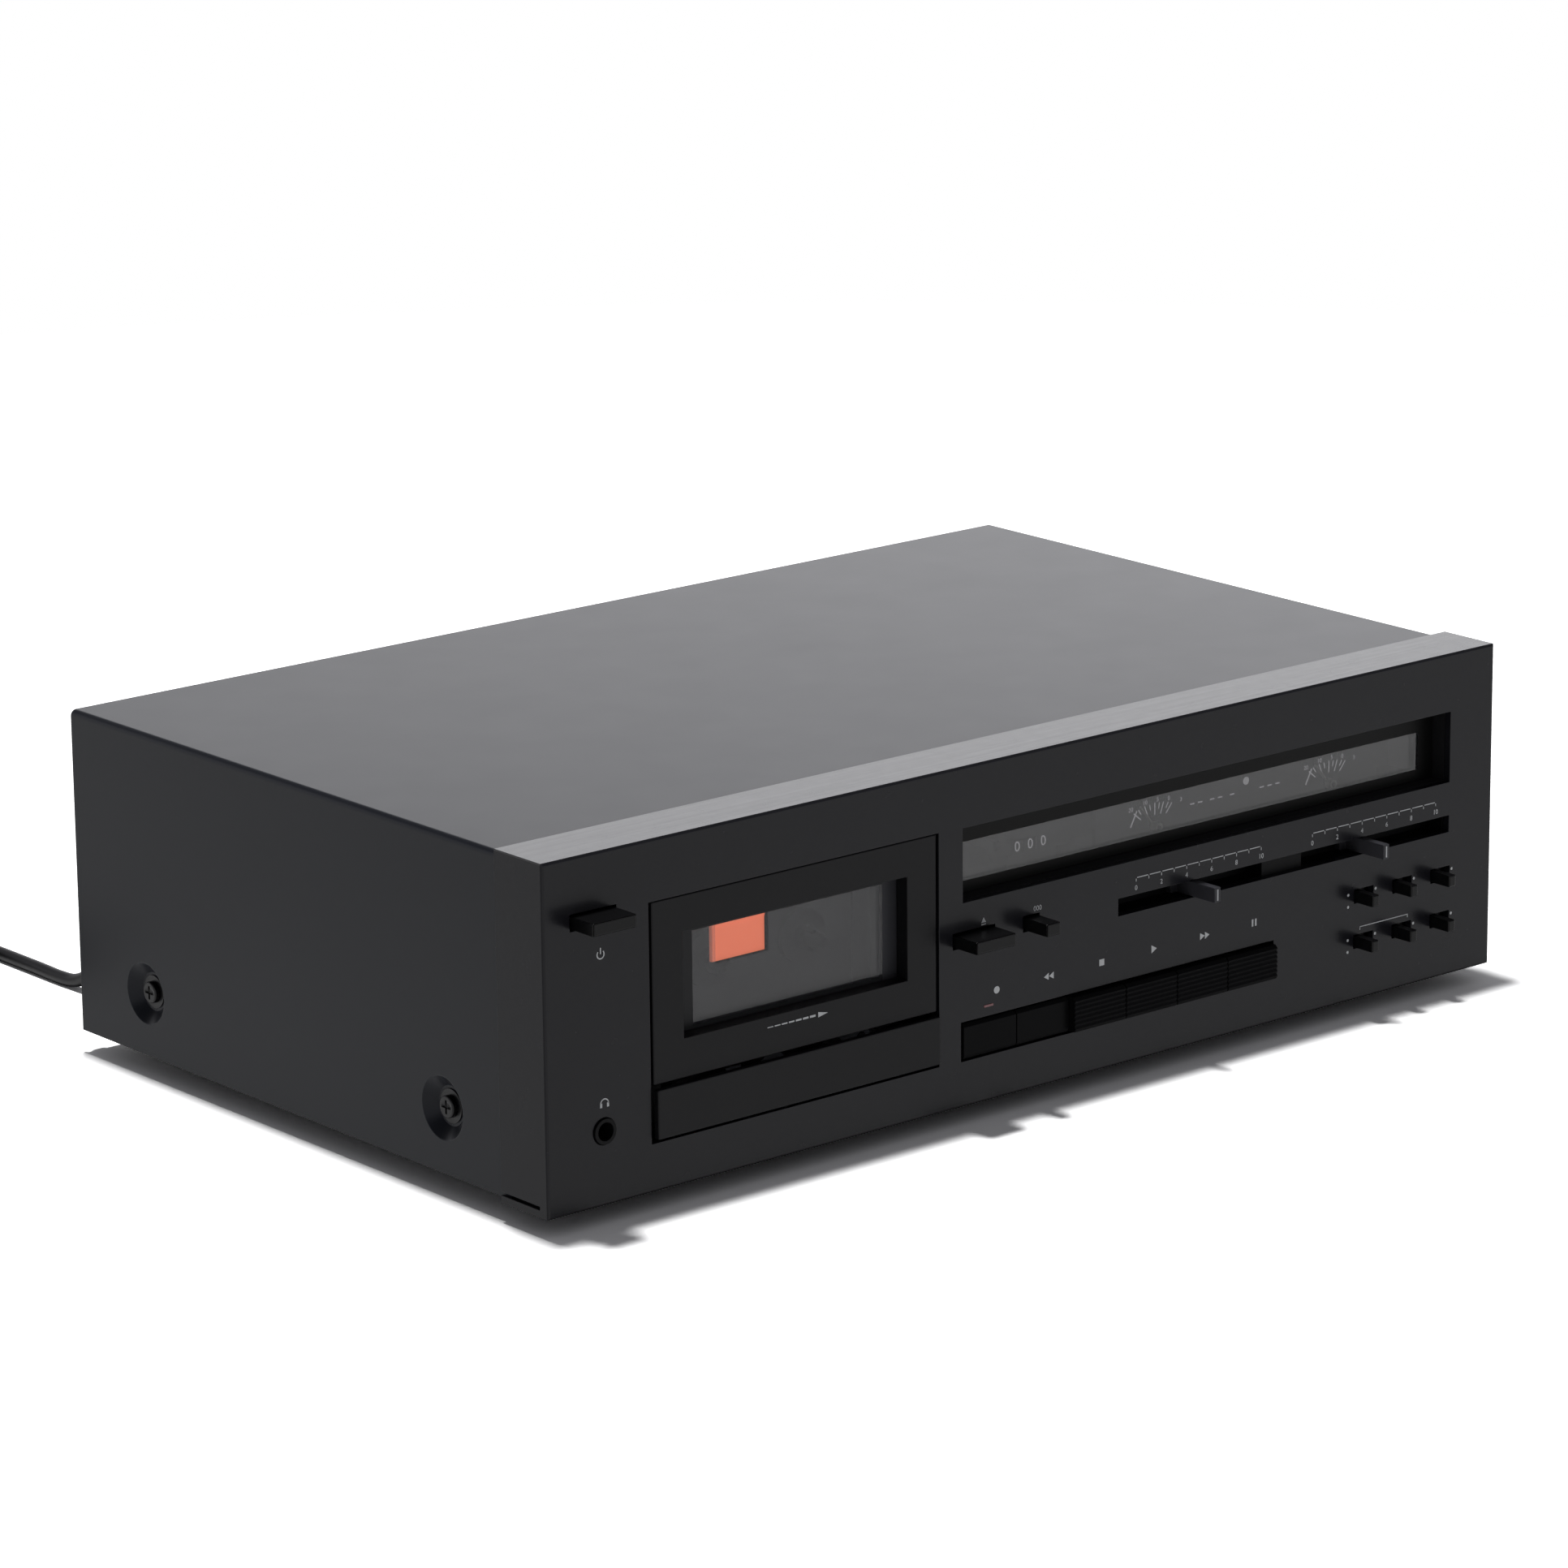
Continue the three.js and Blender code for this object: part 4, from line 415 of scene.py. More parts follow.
@dataclass(frozen=True)
class PaneFinish(Finish):
    """A glossy smoked pane with a clear area, and black print round it."""

    low: Vector = Vector((0, 0, 0))
    high: Vector = Vector((0, 0, 0))
    print_colour: Colour = (0.003, 0.003, 0.003, 1.0)
    print_specular: float = 0.1
    print_roughness: float = 0.4
    print_mottle: float = 0.1
    print_mottle_size: float = 6 * MM
    # A lighter print colour right of the clear area: painted light in the recess wall's shade
    right_colour: Colour | None = None
    # How much darker the pane grows downwards: painted shade of what lies behind it
    fade: float = 0.0
    patch: tuple[Vector, Vector] | None = None
    patch_opacity: float = 0.1
    pane_coat_roughness: float = 0.03

    @staticmethod
    def area(graph: Graph, low: Vector, high: Vector) -> Signal:
        """Gives 1 between two corners, across and up, else 0."""
        inside = (graph.own("X") > low.x) * (graph.own("X") < high.x)
        return inside * (graph.own("Z") > low.z) * (graph.own("Z") < high.z)

    def alpha(self, graph: Graph) -> object:
        """Gives the pane's opacity, which is less in its patch.

        Args:
            graph: The material's nodes.

        Returns:
            The opacity: a signal where there is a patch, else a number.
        """
        if not self.patch:
            return self.opacity
        return self.opacity - self.area(graph, *self.patch) * (self.opacity - self.patch_opacity)

    def print_tone(self, graph: Graph) -> Signal:
        """Gives the print's mottled colour, and a lighter one to the right of the clear area, painted
        light where the recess wall shades the print.

        Args:
            graph: The material's nodes.

        Returns:
            The colour.
        """
        dark, light = (shade(self.print_colour, 1 + part * self.print_mottle) for part in (-1, 1))
        tone = graph.blend(graph.noise(self.print_mottle_size, 2.0), dark, light)
        if self.right_colour:
            tone = graph.blend(graph.own("X") > self.high.x, tone, self.right_colour)
        return tone

    def shader(self, graph: Graph, colour: Signal, height: Signal) -> Signal:
        """Gives the pane, darker downwards by painted shade, and the print round its clear area.

        Args:
            graph: The material's nodes.
            colour: The colour over the surface.
            height: The height of its grain.

        Returns:
            The shader.
        """
        # Darkens the pane towards its bottom: painted shade
        painted_shade = (self.high.z - graph.own("Z")) * (self.fade / (self.high.z - self.low.z))
        bump = graph.bump(height, self.grain_depth)
        pane = graph.principled({
            "Base Color": graph.blend(painted_shade, colour, self.print_colour),
            "Roughness": self.roughness,
            "Specular IOR Level": self.specular,
            "Coat Weight": self.coat,
            "Coat Roughness": self.pane_coat_roughness,
            "Alpha": self.alpha(graph),
            "Normal": bump,
        })
        border = graph.principled({
            "Base Color": self.print_tone(graph),
            "Roughness": self.print_roughness,
            "Specular IOR Level": self.print_specular,
            "Normal": bump,
        })
        clear = self.area(graph, self.low, self.high)
        return graph.node("ShaderNodeMixShader", None, {0: clear, 1: border, 2: pane})


@dataclass(frozen=True)
class SocketFinish(Finish):
    """Bright plate with a coloured collar round each of a row of sockets that face the rear."""

    axes: tuple[Sizes, ...] = ()
    inner: float = 4.2 * MM
    outer: float = 6.3 * MM
    collars: tuple[Colour, ...] = ()
    plate_roughness: float = 0.2
    collar_roughness: float = 0.4

    def shader(self, graph: Graph, colour: Signal, height: Signal) -> Signal:
        """Colours the ring round each socket and leaves the rest plated.

        Args:
            graph: The material's nodes.
            colour: The colour over the surface.
            height: The height of its grain.

        Returns:
            The shader.
        """
        metal = 1.0
        for (x, z), collar in zip(self.axes, self.collars):
            reach = graph.reach(x, z)
            ring = (reach > self.inner) * (reach < self.outer)
            colour = graph.blend(ring, colour, collar)
            metal = (1 - ring) * metal
        rougher = self.collar_roughness - self.plate_roughness
        return graph.principled({
            "Base Color": colour,
            "Roughness": self.plate_roughness + (1 - metal) * rougher,
            "Metallic": metal,
            "Normal": graph.bump(height, self.grain_depth),
        })


@dataclass(frozen=True)
class PlugFinish(Finish):
    """A moulded finish whose blades, in front of one place, are bare plated metal."""

    blade_end: float = 0.0
    blade_colour: Colour = (0.4, 0.4, 0.37, 1.0)

    def shader(self, graph: Graph, colour: Signal, height: Signal) -> Signal:
        """Makes the blades metal and leaves the rest moulded.

        Args:
            graph: The material's nodes.
            colour: The colour over the surface.
            height: The height of its grain.

        Returns:
            The shader.
        """
        blade = graph.own("Y") < self.blade_end
        return graph.principled({
            "Base Color": graph.blend(blade, colour, self.blade_colour),
            "Roughness": self.roughness - blade * (self.roughness / 2),
            "Metallic": blade,
            "Specular IOR Level": self.specular,
            "Normal": graph.bump(height, self.grain_depth),
        })


@dataclass(frozen=True)
class BoardFinish(Finish):
    """A circuit board whose parts, above one place, are each of another colour."""

    face: float = 0.0
    part_size: float = 16 * MM
    part_colours: tuple[Colour, ...] = ()
    part_rise: float = 0.01
    part_unevenness: float = 0.4

    def colour_signal(self, graph: Graph) -> Signal:
        """Gives the mottled board below its face, and patches of the parts' colours above.

        Args:
            graph: The material's nodes.

        Returns:
            The colour.
        """
        count = len(self.part_colours)
        stops = [(number / count, part) for number, part in enumerate(self.part_colours)]
        cells = graph.node("ShaderNodeTexVoronoi", None, {
            "Vector": graph.place((1, 1, self.part_rise)),
            "Scale": 1 / self.part_size,
            "Randomness": self.part_unevenness,
        }, "Color")
        ramp = graph.node("ShaderNodeValToRGB", {"stops": stops}, {0: graph.part(cells, "X")})
        ramp.socket.node.color_ramp.interpolation = "CONSTANT"
        return graph.blend(graph.own("Z") > self.face, super().colour_signal(graph), ramp)


PANEL_FINISH = FacedFinish(
    "panel_lacquer", rgb("17171b"), 0.26, 0.14, grain_size=0.35 * MM, grain_depth=SATIN_DEPTH,
    coat=0.12, coat_roughness=0.2, front=PANEL[0].y + FACE_MARGIN, top=PANEL[1].z - FACE_MARGIN,
    top_coat=0.36,
)
COVER_FINISH = Finish(
    "cover_paint", rgb("16181e"), 0.3, 0.15, grain_size=0.6 * MM, grain_depth=0.008 * MM,
    mottle_size=60 * MM, wear=0.1,
)
DOOR_FINISH = Finish(
    "door_moulding", rgb("131315"), 0.35, 0.14, grain_size=0.35 * MM, grain_depth=SATIN_DEPTH
)
KNOB_FINISH = Finish(
    "black_knob", rgb("0a0a0b"), 0.3, 0.16, grain_size=0.3 * MM, grain_depth=SATIN_DEPTH
)
KEY_FINISH = Finish(
    "black_key", rgb("101011"), 0.3, 0.03, grain_size=0.3 * MM, grain_depth=SATIN_DEPTH
)
SLIDER_FINISH = Finish(
    "slider_blade", rgb("38383c"), 0.35, 0.16, grain_size=0.3 * MM, grain_depth=SATIN_DEPTH
)
TRIM_FINISH = Finish("black_trim", rgb("070708"), 0.5, 0.1)
CHASSIS_FINISH = Finish(
    "zinc_sheet", rgb("8f9294"), 0.38, metal=0.9, grain_size=3 * MM, mottle_size=6 * MM
)
BLACK_SHEET_FINISH = Finish(
    "black_sheet", rgb("141416"), 0.55, 0.35, grain_size=0.8 * MM, grain_depth=0.02 * MM
)
# The window's print is lighter right of the clear area: painted light in the recess wall's shade
WINDOW_FINISH = PaneFinish(
    "smoked_window", rgb("34343a"), 0.08, 0.9, grain_size=4 * MM, grain_depth=0.001 * MM,
    mottle=0.04, coat=0.7, opacity=0.35, low=on_front(68.3, 53.2), high=on_front(153.3, 86.9),
    print_colour=rgb("1c1c1e"), print_specular=0.16, right_colour=rgb("343438"),
    patch=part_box("holder_block"),
)
# The lens darkens downwards: painted shade of the display behind it
LENS_FINISH = PaneFinish(
    "display_lens_smoke", rgb("303034"), 0.05, 0.8, grain_size=4 * MM, grain_depth=0.001 * MM,
    mottle=0.03, coat=1.0, opacity=0.5, low=on_front(150.0, 79.7), high=on_front(419.3, 93.9),
    fade=0.5,
)
HOLDER_FINISH = Finish("holder_sheet", rgb("101012"), 0.5, 0.2, mottle=0.05)
# The orange block glows: painted light that brightens it behind the smoked window, though it is no lamp
ORANGE_FINISH = Finish(
    "orange_block", rgb("ff8766"), 0.45, 0.3, mottle=0.04, mottle_size=4 * MM, glow=0.46
)
BOARD_FINISH = BoardFinish(
    "circuit_board", rgb("8a6a34"), 0.5, mottle=0.2, mottle_size=5 * MM,
    face=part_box("main_board")[0].z + 1.7 * MM,
    part_colours=tuple(rgb(code) for code in ("17181a", "23355c", "9a9a96", "2a2422", "6e2f22")),
)
TURNED_FINISH = TurnedFinish(
    "turned_steel", rgb("b4b6b8"), 0.28, metal=1.0, centre=tuple(middle_of("capstan_flywheel"))
)
LAMINATE_FINISH = BrushedFinish("steel_core", rgb("5a5c60"), 0.45, metal=0.9, grain_size=0.6 * MM)
RUBBER_FINISH = Finish(
    "black_rubber", rgb("101011"), 0.75, 0.25, grain_size=0.7 * MM, grain_depth=0.03 * MM
)
LEAD_FINISH = Finish("lead_sheath", rgb("0c0c0e"), 0.45, 0.35, grain_size=0.6 * MM)
PLUG_FINISH = PlugFinish(
    "moulded_plug", rgb("0c0c0e"), 0.45, 0.35, grain_size=0.6 * MM,
    blade_end=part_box("mains_plug")[0].y + 15.9 * MM,
)
BRASS_FINISH = TurnedFinish(
    "turned_brass", rgb("c9a45a"), 0.25, metal=1.0, mottle_size=3 * MM,
    centre=tuple(middle_of("motor_pulley")),
)
SCREW_FINISH = Finish("black_screw", rgb("0a0a0b"), 0.3, 0.25, grain_depth=SATIN_DEPTH)
INK_FINISH = Finish(
    "white_print", rgb("c6c8ca"), 0.6, 0.2, grain_size=0.2 * MM, mottle=0.06, mottle_size=3 * MM
)
# The dial print and the counter figures glow: painted light that brightens them behind the smoked lens
DIAL_FINISH = Finish(
    "dial_print", rgb("d4d4d8"), 0.6, 0.2, mottle=0.04, mottle_size=3 * MM, glow=0.7
)
CARD_FINISH = Finish("dial_card", rgb("101012"), 0.7, 0.2)
# The needles glow faintly: painted light
NEEDLE_FINISH = Finish("needle_paint", rgb("8c8c88"), 0.5, 0.2, mottle_size=3 * MM, glow=0.04)
RED_LAMP_FINISH = Finish("red_lamp", rgb("7a5052"), 0.25, 0.5, mottle_size=2 * MM, glow=0.06)
SOCKET_FINISH = SocketFinish(
    "phono_sockets", rgb("b9b7b0"), 0.22, mottle_size=4 * MM,
    axes=tuple(on_front(x, 60.0).xz for x in (346.0, 364.0, 382.0, 400.0)),
    collars=(rgb("a3201f"), rgb("d9d8d2")) * 2,
)


def clear_selection() -> None:
    """Leaves object mode on, with nothing selected."""
    if bpy.context.mode != "OBJECT":
        bpy.ops.object.mode_set(mode="OBJECT")
    bpy.ops.object.select_all(action="DESELECT")


class Axis(Enum):
    """The axis that a round piece is made about, with the turn that lays it there."""

    X = (0.0, math.pi / 2, 0.0)
    Y = (math.pi / 2, 0.0, 0.0)
    Z = (0.0, 0.0, 0.0)


class Piece:
    """One modelled piece, shaped by the steps that a hand takes in the viewport."""

    def __init__(self, thing: bpy.types.Object, name: str) -> None:
        """Takes an object in hand and names it and its mesh."""
        self.thing = thing
        self.thing.name = name
        self.thing.data.name = name

    @classmethod
    def taken(cls, name: str) -> "Piece":
        """Takes the object that the last operator added, with its place put into its mesh."""
        bpy.ops.object.transform_apply(location=True, rotation=True, scale=True)
        return cls(bpy.context.object, name)

    @classmethod
    def block(cls, name: str, low: Vector, high: Vector) -> "Piece":
        """Makes a block between two corners.

        Args:
            name: The piece's name.
            low: Its lowest corner.
            high: Its highest corner.

        Returns:
            The new piece.
        """
        clear_selection()
        bpy.ops.mesh.primitive_cube_add(size=1, location=(low + high) / 2)
        bpy.context.object.scale = high - low
        return cls.taken(name)

    @classmethod
    def rod(
        cls, name: str, centre: Vector, radius: float, length: float, axis: Axis, sides: int
    ) -> "Piece":
        """Makes a round rod about its centre.

        Args:
            name: The piece's name.
            centre: Its middle.
            radius: Its radius.
            length: Its length along the axis.
            axis: The axis that it lies along.
            sides: How many sides it has.

        Returns:
            The new piece.
        """
        clear_selection()
        bpy.ops.mesh.primitive_cylinder_add(
            vertices=sides, radius=radius, depth=length, location=centre, rotation=axis.value
        )
        return cls.taken(name)

    @classmethod
    def flat(
        cls, name: str, centre: Vector, radius: float, corners: int, turn: float = 0.0
    ) -> "Piece":
        """Makes a flat even-sided shape that faces the front.

        Args:
            name: The piece's name.
            centre: Its middle.
            radius: The distance of its corners from its middle.
            corners: How many corners it has.
            turn: How far it is turned in its plane, in radians.

        Returns:
            The new piece.
        """
        clear_selection()
        bpy.ops.mesh.primitive_circle_add(
            vertices=corners, radius=radius, fill_type="NGON", location=centre,
            rotation=(math.pi / 2, turn, 0),
        )
        return cls.taken(name)

    @classmethod
    def sheet(cls, name: str, centre: Vector, width: float, height: float) -> "Piece":
        """Makes a flat oblong that faces the front.

        Args:
            name: The piece's name.
            centre: Its middle.
            width: Its size along X.
            height: Its size along Z.

        Returns:
            The new piece.
        """
        clear_selection()
        bpy.ops.mesh.primitive_plane_add(size=1, location=centre, rotation=(math.pi / 2, 0, 0))
        bpy.context.object.scale = (width, height, 1)
        return cls.taken(name)

    @classmethod
    def ring(
        cls, name: str, centre: Vector, radius: float, width: float, corners: int = 32
    ) -> "Piece":
        """Makes a flat ring that faces the front.

        Args:
            name: The piece's name.
            centre: Its middle.
            radius: Its outer radius.
            width: How wide the band is.
            corners: How many corners it has.

        Returns:
            The new piece.
        """
        clear_selection()
        bpy.ops.mesh.primitive_circle_add(
            vertices=corners, radius=radius, fill_type="NOTHING", location=centre,
            rotation=(math.pi / 2, 0, 0),
        )
        piece = cls.taken(name)
        inner = 1 - width / radius
        piece.open()
        bpy.ops.mesh.select_all(action="SELECT")
        bpy.ops.mesh.extrude_region_move()
        bpy.ops.transform.resize(value=(inner, inner, inner), center_override=centre)
        piece.close()
        return piece

    @classmethod
    def lettering(cls, name: str, text: str, height: float, centre: Vector) -> "Piece":
        """Makes flat figures that face the front.

        Args:
            name: The piece's name.
            text: The figures.
            height: Their height.
            centre: The middle of the line.

        Returns:
            The new piece, without thickness.
        """
        clear_selection()
        bpy.ops.object.text_add()
        words = bpy.context.object
        words.data.body = text
        words.data.size = height / FIGURE_SHARE
        words.data.align_x = "CENTER"
        words.data.align_y = "CENTER"
        words.data.resolution_u = 3
        bpy.ops.object.convert(target="MESH")
        letters = bpy.context.object
        letters.rotation_euler = (math.pi / 2, 0, 0)
        letters.location = centre
        return cls.taken(name)

    @classmethod
    def from_node(cls, name: str, node: str) -> "Piece":
        """Makes a copy of a CAD node's mesh, merged and with its flat faces whole.

        Args:
            name: The new piece's name.
            node: The CAD node's name.

        Returns:
            The new piece.
        """
        clear_selection()
        thing = bpy.data.objects.new(name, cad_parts[node].data.copy())
        bpy.context.scene.collection.objects.link(thing)
        piece = cls(thing, name)
        thing.data.materials.clear()
        piece.open()
        bpy.ops.mesh.select_all(action="SELECT")
        bpy.ops.mesh.remove_doubles(threshold=WELD_REACH)
        bpy.ops.mesh.dissolve_limited(angle_limit=FLAT_ANGLE)
        piece.close()
        bpy.ops.mesh.customdata_custom_splitnormals_clear()
        return piece

    def pick(self) -> None:
        """Selects this piece alone and makes it active."""
        clear_selection()
        self.thing.select_set(True)
        bpy.context.view_layer.objects.active = self.thing

    def open(self) -> None:
        """Opens the piece for editing, point by point."""
        self.pick()
        bpy.ops.object.mode_set(mode="EDIT")
        bpy.ops.mesh.select_mode(type="VERT")

    def close(self) -> None:
        """Ends editing."""
        bpy.ops.object.mode_set(mode="OBJECT")

    def open_faces(self, wanted: Callable[[bpy.types.MeshPolygon], bool]) -> None:
        """Opens the piece with the faces that pass a test selected.

        Args:
            wanted: Says whether a face is selected, by its place or normal.
        """
        self.pick()
        mesh = self.thing.data
        for part in (*mesh.vertices, *mesh.edges):
            part.select = False
        for face in mesh.polygons:
            face.select = wanted(face)
        bpy.ops.object.mode_set(mode="EDIT")
        bpy.ops.mesh.select_mode(type="FACE")

    def nudged(self, wanted: Callable[[Vector], bool], move: Vector) -> "Piece":
        """Moves the points that pass a test.

        Args:
            wanted: Says whether a point moves, by its place.
            move: How far it moves.

        Returns:
            This piece.
        """
        bpy.context.tool_settings.mesh_select_mode = (True, False, False)
        mesh = self.thing.data
        for part in (*mesh.edges, *mesh.polygons):
            part.select = False
        for vertex in mesh.vertices:
            vertex.select = wanted(vertex.co)
        self.open()
        bpy.ops.transform.translate(value=move)
        self.close()
        return self

    def taken_out(self, wanted: Callable[[bpy.types.MeshPolygon], bool]) -> "Piece":
        """Deletes the faces that pass a test.

        Args:
            wanted: Says whether a face goes.

        Returns:
            This piece.
        """
        self.open_faces(wanted)
        bpy.ops.mesh.delete(type="FACE")
        self.close()
        return self

    def modified(self, kind: str, **settings: object) -> "Piece":
        """Adds a modifier and applies it.

        Args:
            kind: The modifier's type.
            **settings: Its settings.

        Returns:
            This piece.
        """
        self.pick()
        modifier = self.thing.modifiers.new(kind.lower(), kind)
        for name, value in settings.items():
            setattr(modifier, name, value)
        bpy.ops.object.modifier_apply(modifier=modifier.name)
        return self

    def rounded(self, width: float, segments: int = 2, angle: float = 30.0) -> "Piece":
        """Rounds the edges that are sharper than an angle.

        Args:
            width: The width of the rounding.
            segments: How many faces it has.
            angle: The angle in degrees.

        Returns:
            This piece.
        """
        limit = math.radians(angle)
        self.smoothed(angle)
        return self.modified(
            "BEVEL", width=width, segments=segments, limit_method="ANGLE", angle_limit=limit,
            use_clamp_overlap=False, harden_normals=True,
        )

    def smoothed(self, angle: float) -> "Piece":
        """Shades the piece smooth, with edges sharper than an angle kept crisp.

        Args:
            angle: The angle in degrees.

        Returns:
            This piece.
        """
        self.pick()
        bpy.ops.object.shade_smooth_by_angle(angle=math.radians(angle))
        return self

    def carved(self, cutter: "Piece") -> "Piece":
        """Cuts another piece's shape out of this one and does away with the cutter.

        Args:
            cutter: The other piece.

        Returns:
            This piece.
        """
        self.modified("BOOLEAN", operation="DIFFERENCE", solver="EXACT", object=cutter.thing)
        bpy.data.objects.remove(cutter.thing)
        return self

    def joined(self, others: Iterable["Piece"]) -> "Piece":
        """Joins other pieces into this one.

        Args:
            others: The other pieces, which are used up.

        Returns:
            This piece.
        """
        self.pick()
        for other in others:
            other.thing.select_set(True)
        bpy.ops.object.join()
        return self

    def thickened(self, thickness: float) -> "Piece":
        """Gives a flat piece a thickness, half to each side."""
        return self.modified("SOLIDIFY", thickness=thickness, offset=0.0)

    def stretched(self, width: float, height: float) -> "Piece":
        """Stretches a flat piece about its own middle.

        Args:
            width: The factor along X.
            height: The factor along Z.

        Returns:
            This piece.
        """
        corners = [vertex.co for vertex in self.thing.data.vertices]
        centre = sum(corners, Vector()) / len(corners)
        self.open()
        bpy.ops.mesh.select_all(action="SELECT")
        bpy.ops.transform.resize(value=(width, 1, height), center_override=centre)
        self.close()
        return self

    def copied(self, name: str, move: Matrix) -> "Piece":
        """Makes a copy with its own mesh, moved.

        Args:
            name: The copy's name.
            move: Where it goes from here.

        Returns:
            The copy.
        """
        thing = self.thing.copy()
        thing.data = self.thing.data.copy()
        bpy.context.scene.collection.objects.link(thing)
        thing.data.transform(move)
        return Piece(thing, name)

    def dressed(self, finish: Finish, body: str, slot: str | None = None, *nodes: str) -> "Piece":
        """Gives the piece its finish, the body that it rides on and the nodes that it stands for.

        Args:
            finish: Its finish.
            body: The CAD body's name.
            slot: Not used.
            *nodes: The CAD nodes that it replaces.

        Returns:
            This piece.
        """
        self.thing.data.materials.clear()
        self.thing.data.materials.append(finish.material())
        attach(self.thing, body)
        if nodes:
            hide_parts(*nodes)
        log.info("%s: %d faces", self.thing.name, len(self.thing.data.polygons))
        return self


def soften(
    name: str, node: str, look: tuple[Finish, str], body: str, width: float, segments: int = 2,
    angle: float = 30.0,
) -> Piece:
    """Builds a copy of a CAD node with rounded edges, which stands for that node.

    Args:
        name: The new piece's name.
        node: The CAD node's name.
        look: Its finish, and a material slot name that nothing uses.
        body: The body that it rides on.
        width: The width of the rounding.
        segments: How many faces the rounding has.
        angle: The least angle of an edge that is rounded, in degrees.

    Returns:
        The new piece.
    """
    finish, slot = look
    piece = Piece.from_node(name, node).rounded(width, segments, angle)
    return piece.dressed(finish, body, slot, node)


def turn_about(place: Vector, angle: float, axis: Axis) -> Matrix:
    """Gives a turn in radians about an axis through a place."""
    turn = Matrix.Rotation(angle, 4, axis.name)
    return Matrix.Translation(place) @ turn @ Matrix.Translation(-place)


def dress_node(node: str, finish: Finish) -> None:
    """Gives a CAD node that stays its finish.

    Args:
        node: The CAD node's name.
        finish: Its finish.
    """
    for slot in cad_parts[node].material_slots:
        slot.material = finish.material()
    log.info("%s: kept", node)


@dataclass
class Studio:
    """A pale floor, soft light and a camera that stands where the photograph's did."""

    target: Sizes = (-0.120511, -0.1385, 0.13997)
    azimuth: float = -0.6941
    elevation: float = 0.2655
    roll: float = -0.0099
    distance: float = 2.19508
    focal_length: float = 148.43
    floor_size: float = 30.0
    floor_colour: Colour = field(default_factory=lambda: rgb("e6e6e6"))
    floor_white: float = 1.68
    ceiling_rise: Sizes = (0.36, 0.52)
    sky_level: float = 0.14
    floor_reach: Sizes = (0.7, 1.4)
    key_place: Sizes = (-0.1, 0.23, 4.4)
    key_size: float = 0.36
    key_power: float = 174.0
    back_place: Sizes = (1.9, 2.3, 0.85)
    back_size: float = 1.6
    back_power: float = 5.4
    aim_height: float = 0.06
    sensor_width: float = 36.0
    view_end: float = 100.0
    floor_grain: float = 0.4
    floor_dark: float = 0.99
    sky_colour: Colour = field(default_factory=lambda: rgb("fafaff"))

    def build(self) -> None:
        """Sets up the camera, floor, lamps and world."""
        self.add_camera()
        self.add_floor()
        self.add_lamps()
        self.set_world()
        bpy.context.scene.view_settings.view_transform = "Standard"

    def add_camera(self) -> None:
        """Adds the camera."""
        back = Vector((
            math.sin(self.azimuth) * math.cos(self.elevation),
            -math.cos(self.azimuth) * math.cos(self.elevation),
            math.sin(self.elevation),
        ))
        level = Vector((math.cos(self.azimuth), math.sin(self.azimuth), 0))
        above = back.cross(level)
        right = level * math.cos(self.roll) + above * math.sin(self.roll)
        upright = above * math.cos(self.roll) - level * math.sin(self.roll)
        lens = bpy.data.cameras.new("camera")
        lens.lens = self.focal_length
        lens.sensor_width = self.sensor_width
        lens.sensor_fit = "HORIZONTAL"
        lens.clip_end = self.view_end
        camera = bpy.data.objects.new("camera", lens)
        bpy.context.scene.collection.objects.link(camera)
        turn = Matrix((right, upright, back)).transposed()
        place = Vector(self.target) + back * self.distance
        camera.matrix_world = Matrix.Translation(place) @ turn.to_4x4()
        bpy.context.scene.camera = camera
        log.info("camera")

    def add_floor(self) -> None:
        """Adds the floor, which shows white to the camera apart from the shadow."""
        clear_selection()
        bpy.ops.mesh.primitive_plane_add(size=self.floor_size)
        floor = Piece(bpy.context.object, "studio_floor")
        material = bpy.data.materials.new("studio_floor")
        graph = Graph(material, "ShaderNodeOutputMaterial")
        dark = shade(self.floor_colour, self.floor_dark)
        tone = graph.blend(graph.noise(self.floor_grain, 2.0), dark, self.floor_colour)
        mirrored = graph.blend(self.seen_directly(graph), tone, WHITE)
        camera = graph.node("ShaderNodeLightPath", output="Is Camera Ray")
        seen_tone = graph.blend(camera, mirrored, (*(self.floor_white,) * 3, 1.0))
        near = graph.node("ShaderNodeBsdfDiffuse", None, {"Color": seen_tone})
        far = graph.node("ShaderNodeEmission", None, {"Color": WHITE, "Strength": 1.0})
        lengthwise = {"operation": "LENGTH"}
        reach = graph.node("ShaderNodeVectorMath", lengthwise, {0: graph.place()}, "Value")
        away = graph.between(reach, self.floor_reach) * self.seen_directly(graph)
        graph.finish(graph.node("ShaderNodeMixShader", None, {0: away, 1: near, 2: far}))
        floor.thing.data.materials.append(material)
        log.info("studio_floor")

    @staticmethod
    def seen_directly(graph: Graph) -> Signal:
        """Gives 1 for the camera's rays and for those seen in gloss or through glass, else 0.

        Args:
            graph: The material's or the world's nodes.

        Returns:
            The signal.
        """
        kinds = ("Is Camera Ray", "Is Glossy Ray", "Is Transmission Ray")
        camera, glossy, through = (graph.node("ShaderNodeLightPath", output=kind) for kind in kinds)
        return camera.larger(glossy).larger(through)

    def add_lamps(self) -> None:
        """Adds a soft lamp above and a faint broad one behind."""
        self.add_lamp("key_lamp", Vector(self.key_place), self.key_size, self.key_power)
        self.add_lamp("back_lamp", Vector(self.back_place), self.back_size, self.back_power)

